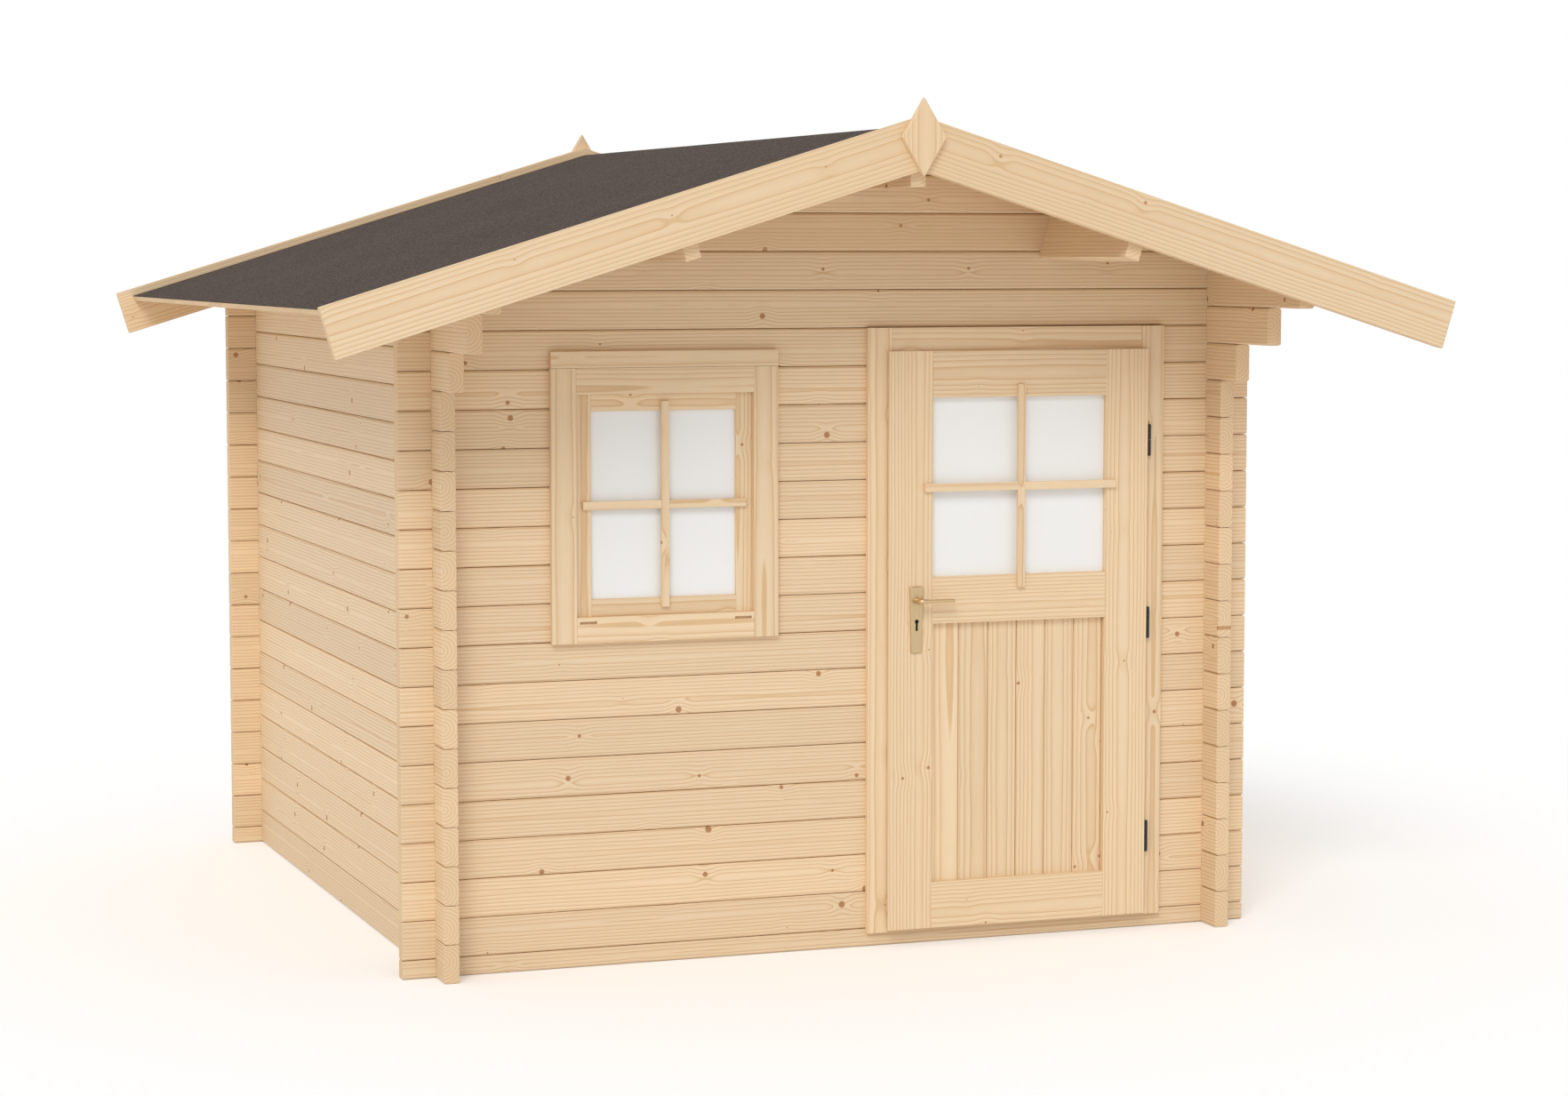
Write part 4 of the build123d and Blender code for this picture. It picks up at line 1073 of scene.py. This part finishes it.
# %% Stiles and rails
leaf_low, leaf_high = (np.array(c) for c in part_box("door_stiles"))
LEAF_X, LEAF_Z = (leaf_low[0], leaf_high[0]), (leaf_low[2], leaf_high[2])
LEAF_Y, LEAF_BACK = leaf_low[1], leaf_high[1]
LEAF_GAP = 0.005  # of the lip to the casing and of the core to the frame
LIP_BACK = CASING_Y - LEAF_GAP
CORE_X = (DOOR_CLEAR_X[0] + LEAF_GAP, DOOR_CLEAR_X[1] - LEAF_GAP)
CORE_Z = (sill_top + LEAF_GAP, HEAD_LOW - LEAF_GAP)
RAIL_W = 0.140
STILE_X = (LEAF_X[0] + RAIL_W, LEAF_X[1] - RAIL_W)
MID_RAIL_Z = (0.9755, 1.1155)
PANEL_Z = (LEAF_Z[0] + RAIL_W, MID_RAIL_Z[0])
GLASS_TOP = LEAF_Z[1] - RAIL_W
INFILL_Y = LEAF_Y + 0.020  # face of the panel boards
LEAF_EASE, LEAF_HEART = 0.0008, 0.06


def clip_depth(outline, back):
    """The outline with its depth held at or in front of back."""
    held = outline.copy()
    held[:, 0] = np.minimum(held[:, 0], back)
    return held


def lipped(edge, core, inner):
    """Section of an outer timber of the leaf: a lip from edge to core, full depth to inner."""
    return rounded([(LEAF_Y, edge), (LEAF_Y, inner), (LEAF_BACK, inner), (LEAF_BACK, core),
                    (LIP_BACK, core), (LIP_BACK, edge)], SOFT)


stiles = Timbers(80)
for across in zip(LEAF_X, CORE_X, STILE_X):
    outline = lipped(*across)
    lip = clip_depth(outline, LIP_BACK)
    ease = clip_depth(inset(outline, LEAF_EASE), LIP_BACK)
    z0, z1 = LEAF_Z
    stiles.put([station(ease, z0), station(lip, z0 + LEAF_EASE), station(lip, CORE_Z[0]),
                station(outline, CORE_Z[0]), station(outline, CORE_Z[1]),
                station(lip, CORE_Z[1]), station(lip, z1 - LEAF_EASE), station(ease, z1)],
               run_z, heart=LEAF_HEART, spread=BOARD_SPREAD)
stiles.build("door_stile_timber", SPRUCE_JOINERY, "trim_wood", "door", ["door_stiles"])

rails = Timbers(81)
for outline in (lipped(LEAF_Z[0], CORE_Z[0], PANEL_Z[0]), lipped(LEAF_Z[1], CORE_Z[1], GLASS_TOP),
                board_outline((LEAF_Y, LEAF_BACK), MID_RAIL_Z, radius=SOFT)):
    rails.put(straight(outline, *STILE_X, edge=LEAF_EASE), run_x, heart=LEAF_HEART,
              spread=BOARD_SPREAD)
rails.build("door_rail_timber", SPRUCE_JOINERY, "trim_wood", "door", ["door_rails"])

# %% Panel boards
PANEL_BOARDS, PANEL_T, V_CUT = 6, 0.016, 0.004
PANEL_LET_IN = 0.008  # into the rails above and below
panel = Timbers(82)
cover = (STILE_X[1] - STILE_X[0]) / PANEL_BOARDS
for i in range(PANEL_BOARDS):
    a, b = STILE_X[0] + i * cover, STILE_X[0] + (i + 1) * cover
    outline = board_outline((INFILL_Y, INFILL_Y + PANEL_T), (a + TIGHT, b - TIGHT), V_CUT,
                            radius=TIGHT)
    panel.put(straight(outline, PANEL_Z[0] - PANEL_LET_IN, PANEL_Z[1] + PANEL_LET_IN), run_z,
              heart=BOARD_HEART, spread=BOARD_SPREAD)
panel.build("door_panel_boards", SPRUCE_JOINERY, "trim_wood", "door", ["door_panel"])

# %% Glazing bars
BAR_W, BAR_T, BAR_HEART = 0.024, 0.012, 0.04


def glazing_cross(name, node, face_y, body, seed):
    """An upright bar with a level bar in two pieces beside it, flush on its face."""
    bars = Timbers(seed)
    low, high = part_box(node)
    span_x, span_z = (low[0], high[0]), (low[2], high[2])
    middle_x, middle_z = (low[0] + high[0]) / 2, (low[2] + high[2]) / 2
    depth, left_right = (face_y - BAR_T, face_y), around(middle_x, BAR_W)
    upright = board_outline(depth, left_right)
    bars.put(straight(upright, *span_z, edge=LEAF_EASE), run_z, heart=BAR_HEART)
    level = board_outline(depth, around(middle_z, BAR_W))
    for a, b in ((span_x[0], left_right[0]), (left_right[1], span_x[1])):
        bars.put(straight(level, a, b, edge=TIGHT), run_x, heart=BAR_HEART)
    bars.build(name, SPRUCE_JOINERY, "trim_wood", body, [node])


glazing_cross("door_cross_bars", "door_glazing_bars", LEAF_Y, "door", 83)

# %% [markdown]
# ## Window
#
# The frame grips the wall as the door's does, with a drip board over its head. The sash sits
# flush in the frame and doesn't open. Two slots in the bottom casing let rain out.

# %% Window frame
window_low, window_high = (np.array(c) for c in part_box("window_frame_posts"))
WINDOW_X = (window_low[0] + CASING_W, window_high[0] - CASING_W)
WINDOW_Z = (window_low[2] + CASING_W, window_high[2] - CASING_W)
window_frame = Timbers(90)
for clear, away in zip(WINDOW_X, (-1, 1)):
    full = (window_low[2], window_high[2])
    member(window_frame, run_z, *ranges(clear, away), full,
           (WINDOW_Z[0] - JAMB_T, WINDOW_Z[1] + JAMB_T), full)
window_frame.build("window_frame_post_timber", SPRUCE_JOINERY, "trim_wood", "house",
                   ["window_frame_posts"])

# %% Window rails, with the drain slots
SLOT_L, SLOT_H, SLOT_D, SLOT_INSET = 0.052, 0.008, 0.012, 0.008
SLOT_Z = WINDOW_Z[0] - 0.016
window_rails = Timbers(91)
for clear, away in zip(WINDOW_Z, (-1, 1)):
    casing, jamb = ranges(clear, away)
    for depth, across, radius in (((FRONT_Y, INNER_Y), jamb, TUCKED),
                                  ((INNER_Y, BACK_Y), casing, SOFT)):
        outline = board_outline(depth, across, radius=radius)
        window_rails.put(straight(outline, *WINDOW_X, edge=TIGHT), run_x, heart=BOARD_HEART)
    outline = board_outline((CASING_Y, FRONT_Y), casing, radius=SOFT)
    if away > 0:
        window_rails.put(straight(outline, *WINDOW_X, edge=TIGHT), run_x, heart=BOARD_HEART)
        continue
    # The front face runs down from the outline's last point, so the slot's points go there
    lips = SLOT_Z + SLOT_H / 2 * np.array([1, 1, -1, -1])
    eased = np.concatenate([inset(outline, TIGHT), [(CASING_Y + TIGHT, z) for z in lips]])
    plain = np.concatenate([outline, [(CASING_Y, z) for z in lips]])
    milled = plain.copy()
    milled[-3:-1, 0] += SLOT_D
    rings = [station(eased, WINDOW_X[0]), station(plain, WINDOW_X[0] + TIGHT)]
    for x in (WINDOW_X[0] + SLOT_INSET, WINDOW_X[1] - SLOT_INSET - SLOT_L):
        rings += [station(plain, x), station(milled, x), station(milled, x + SLOT_L),
                  station(plain, x + SLOT_L)]
    rings += [station(plain, WINDOW_X[1] - TIGHT), station(eased, WINDOW_X[1])]
    window_rails.put(rings, run_x, heart=BOARD_HEART)
window_rails.build("window_frame_rail_timber", SPRUCE_JOINERY, "trim_wood", "house",
                   ["window_frame_rails"])

drip = Timbers(92)
low_corner, high_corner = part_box("window_drip_board")
DRIP_PLAY = 0.0004  # over the frame
outline = board_outline((low_corner[1], high_corner[1]),
                        (low_corner[2] + DRIP_PLAY, high_corner[2]), radius=ROUND_TRIM)
drip.put(straight(outline, low_corner[0], high_corner[0]), run_x, heart=BOARD_HEART)
drip.build("window_drip_board_timber", SPRUCE_JOINERY, "trim_wood", "house",
           ["window_drip_board"])

# %% Sash and its bars
SASH_W, SASH_T = 0.050, 0.040
for name, node, edges, span, to_world, seed in (
        ("window_sash_stile_timber", "window_sash_stiles", WINDOW_X, WINDOW_Z, run_z, 93),
        ("window_sash_rail_timber", "window_sash_rails", WINDOW_Z,
         (WINDOW_X[0] + SASH_W, WINDOW_X[1] - SASH_W), run_x, 94)):
    sash = Timbers(seed)
    for clear, away in zip(edges, (1, -1)):
        outline = board_outline((FRONT_Y, FRONT_Y + SASH_T),
                                sorted((clear, clear + away * SASH_W)), radius=SOFT)
        sash.put(straight(outline, *span, edge=TIGHT), to_world, heart=BOARD_HEART)
    sash.build(name, SPRUCE_JOINERY, "trim_wood", "house", [node])
glazing_cross("window_cross_bars", "window_glazing_bars", FRONT_Y, "house", 95)

# %% [markdown]
# ## Hinges
#
# Three barrel hinges carry the leaf. Each has a lower barrel on the frame and an upper one on
# the leaf, on flat blades that are let into the wood. The barrels are turned, so each one is a
# profile of (radius, height) carried round the pin: domed at its outer end, with a fine groove
# where the two halves meet.

# %% Turned surfaces and flat bars
METAL_EASE = 0.0004


def grid_faces(rows, columns, closed_rows=False):
    """Quads of a grid of points whose columns close on themselves, as one array."""
    index = np.arange(rows * columns).reshape(rows, columns)
    if closed_rows:
        index = np.concatenate([index, index[:1]])
    around = np.roll(index, -1, axis=1)
    return np.stack([index[:-1], around[:-1], around[1:], index[1:]], -1).reshape(-1, 4)


def turned(profile, segments=40):
    """The profile (radius, height) carried round the vertical axis: r cos a, r sin a, h."""
    profile = np.asarray(profile, float)
    angle = np.linspace(0.0, 2 * np.pi, segments, endpoint=False)
    radius, height = profile[:, :1], profile[:, 1:]
    points = np.stack([radius * np.cos(angle), radius * np.sin(angle),
                       height + 0 * angle], -1)
    return points.reshape(-1, 3), grid_faces(len(profile), segments).tolist()


class Solids:
    """Collects plain closed surfaces that become one smooth object."""

    def __init__(self):
        self.points, self.faces, self.count = [], [], 0

    def put(self, points, faces):
        """Adds one closed surface."""
        self.points.append(points)
        self.faces += [[self.count + i for i in face] for face in faces]
        self.count += len(points)

    def build(self, name, material, slot, body, nodes=(), smooth=35.0):
        """Makes the object, with sharp edges where faces meet at more than smooth degrees."""
        mesh = bpy.data.meshes.new(name)
        mesh.from_pydata(np.concatenate(self.points).tolist(), [], self.faces)
        close_up(mesh, smooth)
        return seat(name, mesh, material, body, nodes)


def brick(x, y, z, ease=METAL_EASE):
    """A flat bar with eased edges between pairs of low and high coordinates."""
    outline = board_outline(x, y, radius=ease)
    rings = [station(inset(outline, ease), z[0]), station(outline, z[0] + ease),
             station(outline, z[1] - ease), station(inset(outline, ease), z[1])]
    n = len(outline)
    faces = grid_faces(4, n).tolist() + [list(range(n))[::-1], list(range(3 * n, 4 * n))]
    return np.concatenate(rings)[:, [1, 2, 0]], faces


# %% Hinge barrels
HINGE_R, HINGE_H, HINGE_SPLIT, HINGE_PLAY = 0.006, 0.098, 0.001, 0.001
HINGE_FEET = (0.241, 0.904, 1.465)
HINGE_AXIS = (LEAF_X[1] + HINGE_PLAY + HINGE_R, LIP_BACK - HINGE_R)
BLADE_T, BLADE_H, BLADE_L = 0.004, 0.030, 0.035
DOME, BARREL_BEVEL = 0.003, 0.0007


def barrel(foot, top, domed_foot):
    """Profile of one barrel half: a quarter ellipse at its outer end, a small bevel inside."""
    turn = np.linspace(0.0, np.pi / 2, 6)
    outer = [(HINGE_R * np.sin(t), DOME * (1 - np.cos(t))) for t in turn]
    length = top - foot
    profile = np.array([*outer, (HINGE_R, length - BARREL_BEVEL),
                        (HINGE_R - BARREL_BEVEL, length), (0, length)])
    if not domed_foot:
        profile = profile[::-1] * (1, -1) + (0, length)
    return profile + (0, foot)


def hinge_halves(name, node, body, spans, blade_of, domed_foot):
    """The three like halves of the hinges, each a barrel on its blade."""
    group = Solids()
    for (foot, top), blade in zip(spans, map(blade_of, HINGE_FEET)):
        points, faces = turned(barrel(foot, top, domed_foot))
        group.put(points + (*HINGE_AXIS, 0.0), faces)
        group.put(*brick(*blade))
    group.build(name, HINGE_PAINT, "hinge_metal", body, [node])


def frame_blade(z):
    """x, y and z of the blade in the casing."""
    return (around(HINGE_AXIS[0], BLADE_T), (HINGE_AXIS[1], CASING_Y + BLADE_L),
            around(z + HINGE_H / 4, BLADE_H))


def leaf_blade(z):
    """x, y and z of the blade in the stile."""
    return ((LEAF_X[1] - BLADE_L, HINGE_AXIS[0]), around(HINGE_AXIS[1], BLADE_T),
            around(z + HINGE_H * 3 / 4, BLADE_H))


hinge_halves("hinge_frame_halves", "hinge_frame_barrels", "house",
             [(z, z + (HINGE_H - HINGE_SPLIT) / 2) for z in HINGE_FEET], frame_blade, True)
hinge_halves("hinge_leaf_halves", "hinge_leaf_barrels", "door",
             [(z + (HINGE_H + HINGE_SPLIT) / 2, z + HINGE_H) for z in HINGE_FEET], leaf_blade,
             False)

# %% [markdown]
# ## Lock plates and lever
#
# A long plate that narrows towards its foot sits on each face of the leaf, with a keyhole cut
# through it. Its front is the stretch between two outlines, the tapered edge and the keyhole,
# both found along the same rays from a point inside the keyhole. The lever is cast and
# polished: a round neck that turns through a quarter circle and flattens into the grip.

# %% Lock plates
plate_low, plate_high = (np.array(c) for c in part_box("lock_plates"))
PLATE_X, PLATE_T = (plate_low[0] + plate_high[0]) / 2, 0.007
PLATE_HALF = (0.0165, (plate_high[0] - plate_low[0]) / 2)  # at the foot and at the top
KEY_Z, KEY_R, KEY_HALF, KEY_DROP = 0.984, 0.0065, 0.0035, 0.028
RAY_Z = KEY_Z - 0.0055  # a point from which every ray leaves the keyhole once
PLATE_BEVEL, PLATE_RAYS = 0.0018, 96
CASE_W, CASE_Z = 0.018, (0.950, 0.994)  # of the lock case that shows through the keyhole
CASE_BEHIND = (0.0001, 0.0008)  # its back and its front, off the leaf's face
AWAY = 1e-9  # a ray that closes on an edge by less than this never meets it


def ray_to_lines(direction, corners):
    """How far each ray from the origin runs inside a convex outline: for an edge with inward
    normal n and distance c, the ray d meets it at c / (-d . n)."""
    p = np.asarray(corners, float)
    edge = np.roll(p, -1, 0) - p
    normal = np.stack([-edge[:, 1], edge[:, 0]], 1) / np.linalg.norm(edge, axis=1)[:, None]
    toward = -direction @ normal.T
    reach = np.sum(-p * normal, 1)[None, :] / np.where(toward > AWAY, toward, np.nan)
    return np.nanmin(reach, axis=1)


def keyhole_rays(direction):
    """How far each ray runs inside the keyhole: the further of its circle and its slot."""
    centre = KEY_Z - RAY_Z
    along = direction[:, 1] * centre
    circle = along + np.sqrt(along ** 2 - centre ** 2 + KEY_R ** 2)
    foot = KEY_Z - KEY_DROP - RAY_Z
    slot = ray_to_lines(direction, [(-KEY_HALF, foot), (KEY_HALF, foot), (KEY_HALF, centre),
                                    (-KEY_HALF, centre)])
    return np.maximum(circle, slot)


def lock_plate(face_y, out):
    """One plate on the leaf's face at face_y. out is -1 to the front and 1 to the rear."""
    z0, z1 = plate_low[2] - RAY_Z, plate_high[2] - RAY_Z
    corners = np.array([(-PLATE_HALF[0], z0), (PLATE_HALF[0], z0), (PLATE_HALF[1], z1),
                        (-PLATE_HALF[1], z1)])
    inner = inset(corners, PLATE_BEVEL)
    angle = np.sort(np.concatenate([np.linspace(-np.pi, np.pi, PLATE_RAYS, endpoint=False),
                                    np.arctan2(corners[:, 1], corners[:, 0])]))
    way = np.stack([np.cos(angle), np.sin(angle)], 1)
    edge, face, key = (way * reach[:, None] for reach in (
        ray_to_lines(way, corners), ray_to_lines(way, inner), keyhole_rays(way)))
    front = face_y + out * PLATE_T
    rings = [(edge, face_y), (edge, front - out * PLATE_BEVEL), (face, front), (key, front),
             (key, face_y)]
    points = [np.stack([PLATE_X + r[:, 0], np.full(len(r), y), RAY_Z + r[:, 1]], 1)
              for r, y in rings]
    return np.concatenate(points), grid_faces(len(rings), len(angle), closed_rows=True).tolist()


plates, lock_case = Solids(), Solids()
for face_y, out in ((LEAF_Y, -1), (LEAF_BACK, 1)):
    plates.put(*lock_plate(face_y, out))
    behind = sorted(face_y + out * gap for gap in CASE_BEHIND)
    lock_case.put(*brick(around(PLATE_X, CASE_W), behind, CASE_Z, ease=METAL_EASE / 2))
plates.build("lock_plate_pair", CHAMPAGNE, "handle_metal", "door", ["lock_plates"],
             smooth=20.0)
lock_case.build("lock_case_behind_keyholes", LOCK_STEEL, "hinge_metal", "door")

# %% Lever
NECK_R, GRIP_DEPTH, GRIP_H = 0.009, 0.018, 0.011
BEND_R = NECK_R + 0.0005
NECK_ROWS, TURN_ROWS, GRIP_ROWS, TIP_ROWS = 5, 12, 9, 7
TIP_SHRINK, TIP_FLAT = 0.55, 0.05  # how much the rounded end loses, and its flat middle
SETTLE_L, SQUARER = 0.02, 1.4  # where the round neck becomes the flat grip, and by how much
SPINDLE_R, LEVER_PLAY = 0.004, 0.001
lever_low, lever_high = (np.array(c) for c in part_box("door_lever"))
LEVER_Z = (lever_low[2] + lever_high[2]) / 2
GRIP_END = lever_high[0]


def swept(centre, side, up, half_side, half_up, power, columns=36):
    """A closed section carried along a path: c + a |cos t|^(2/p) side + b |sin t|^(2/p) up."""
    t = np.linspace(0.0, 2 * np.pi, columns, endpoint=False)
    cos, sin = np.cos(t)[None, :, None], np.sin(t)[None, :, None]
    power = np.asarray(power)[:, None, None]
    across = np.sign(cos) * np.abs(cos) ** (2 / power) * np.asarray(half_side)[:, None, None]
    above = np.sign(sin) * np.abs(sin) ** (2 / power) * np.asarray(half_up)[:, None, None]
    points = centre[:, None] + across * side[:, None] + above * np.asarray(up)[None, None, :]
    rows = len(centre)
    ends = [list(range(columns))[::-1], list(range((rows - 1) * columns, rows * columns))]
    return points.reshape(-1, 3), grid_faces(rows, columns).tolist() + ends


def lever_half(start_y, end_y):
    """Neck out from the leaf, quarter turn, then the grip along X with a rounded end."""
    out = np.sign(end_y - start_y)
    grip_y = end_y - out * GRIP_DEPTH / 2
    neck = np.linspace(0.0, abs(grip_y - start_y) - BEND_R, NECK_ROWS)
    turn = np.linspace(0.0, np.pi / 2, TURN_ROWS)[1:]
    quarter = np.linspace(0.0, np.pi / 2, TIP_ROWS)[1:]
    grip_l, tip = GRIP_END - (PLATE_X + BEND_R), GRIP_H / 2
    run = np.concatenate([np.linspace(0.0, grip_l - tip, GRIP_ROWS)[1:],
                          grip_l - tip + tip * np.sin(quarter)])
    x = np.concatenate([0 * neck, BEND_R * (1 - np.cos(turn)), BEND_R + run])
    y = np.concatenate([neck, neck[-1] + BEND_R * np.sin(turn), 0 * run + neck[-1] + BEND_R])
    centre = np.stack([PLATE_X + x, start_y + out * y, np.full(len(x), LEVER_Z)], 1)
    heading = np.concatenate([0 * neck, turn, 0 * run + np.pi / 2])
    side = np.stack([np.cos(heading), -out * np.sin(heading), 0 * heading], 1)
    settle = np.concatenate([0 * neck, turn / np.pi, 0.5 + 0.5 * np.clip(run / SETTLE_L, 0, 1)])
    end = np.concatenate([np.ones(len(x) - len(quarter)), np.cos(quarter)])
    shrink = 1 - (1 - np.maximum(end, TIP_FLAT)) * TIP_SHRINK
    half_side = NECK_R * shrink
    half_up = (NECK_R + (GRIP_H / 2 - NECK_R) * settle) * shrink
    return swept(centre, side, (0.0, 0.0, 1.0), half_side, half_up, 2 + SQUARER * settle)


lever = Solids()
for start_y, end_y in ((LEAF_Y - PLATE_T - LEVER_PLAY, lever_low[1]),
                       (LEAF_BACK + PLATE_T + LEVER_PLAY, lever_high[1])):
    lever.put(*lever_half(start_y, end_y))
spindle_y = np.array([LEAF_Y - PLATE_T, LEAF_BACK + PLATE_T]) + 2 * LEVER_PLAY * np.array([-1, 1])
spindle = np.stack([0 * spindle_y + PLATE_X, spindle_y, 0 * spindle_y + LEVER_Z], 1)
lever.put(*swept(spindle, np.array([[1.0, 0, 0]] * 2), (0, 0, 1), [SPINDLE_R] * 2,
                 [SPINDLE_R] * 2, [2.0] * 2))
lever.build("lever_pair", CHAMPAGNE, "handle_metal", "lever", ["door_lever"], smooth=40.0)

# %% [markdown]
# ## Materials for the CAD nodes that stay
#
# The glass panes and the floor's bearers keep their CAD shape.

# %% Finish the kept nodes
KEPT = {"door_glass": OPAL_GLASS, "window_glass": OPAL_GLASS, "floor_bearers": SPRUCE_BOARD}
for node, material in KEPT.items():
    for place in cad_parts[node].material_slots:
        place.material = material
    print(node, [place.material.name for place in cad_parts[node].material_slots])

# %% [markdown]
# ## Floor of the studio, light and background
#
# The drawing has a white page and even light. A wide white floor and a white world give the
# page, and a broad soft lamp from the upper left front gives each edge a quiet shade.

# %% Studio
FLOOR_SIZE = 60.0
mesh = bpy.data.meshes.new("studio_floor")
corner = FLOOR_SIZE / 2
mesh.from_pydata([(-corner, -corner, 0), (corner, -corner, 0), (corner, corner, 0),
                  (-corner, corner, 0)], [], [(0, 1, 2, 3)])
studio_floor = bpy.data.objects.new("studio_floor", mesh)
bpy.context.scene.collection.objects.link(studio_floor)
print("studio floor", FLOOR_SIZE, "m wide")

# %% White paper
WHITE = (1.0, 1.0, 1.0, 1.0)
FADE = (1.9, 5.0)  # metres from the middle where the paper starts and ends to fade to white
OPEN_LIFT = 0.16  # what the open paper lacks to white, added for the camera and reflections


def seen_directly(tree):
    """1 for rays from the camera, off gloss or through glass, and 0 for all other light."""
    rays = {socket.name: socket for socket in add(tree, "LightPath")}
    camera_ray = rays["Is Camera Ray"]
    by_object = add(tree, "Math", rays["Is Glossy Ray"], rays["Is Transmission Ray"],
                    operation="MAXIMUM")[0]
    return add(tree, "Math", camera_ray, by_object, operation="MAXIMUM")[0]


paper = bpy.data.materials.new("white_studio_paper")
mesh.materials.append(paper)
tree = blank(paper)
seen = seen_directly(tree)
away = add(tree, "VectorMath", add(tree, "TexCoord")[OBJECT], operation="LENGTH")[0]
fade = add(tree, "MapRange", away, *FADE, 0.0, 1.0, interpolation_type="SMOOTHERSTEP")[0]
fade = add(tree, "Math", seen, fade, operation="MULTIPLY")[0]
lift = add(tree, "Math", seen, OPEN_LIFT, operation="MULTIPLY")[0]
surface = add(tree, "BsdfPrincipled", Base_Color=linear("#FAFAFA"), Roughness=0.9,
              Specular_IOR_Level=0.1, Emission_Color=WHITE, Emission_Strength=lift)[0]
white = add(tree, "Emission", WHITE, 1.0)[0]
add(tree, "OutputMaterial", add(tree, "MixShader", fade, surface, white)[0])
print("paper nodes:", len(tree.nodes))

# %% Light
WORLD_LIGHT = 0.70
world = bpy.data.worlds.new("white_studio")
bpy.context.scene.world = world
tree = blank(world)
strength = add(tree, "MapRange", seen_directly(tree), 0.0, 1.0, WORLD_LIGHT, 1.0)[0]
add(tree, "OutputWorld", add(tree, "Background", WHITE, strength)[0])

SUN_STRENGTH, SUN_SPREAD, SUN_TURN = 1.05, 25.0, (52.0, 0.0, -32.0)  # the last two in degrees
sun = bpy.data.lights.new("soft_key", "SUN")
sun.energy = SUN_STRENGTH
sun.angle = np.radians(SUN_SPREAD)
key = bpy.data.objects.new("soft_key", sun)
bpy.context.scene.collection.objects.link(key)
key.rotation_euler = np.radians(SUN_TURN)

print("sun", SUN_STRENGTH, "world", WORLD_LIGHT)

bpy.context.scene.view_settings.view_transform = "Standard"
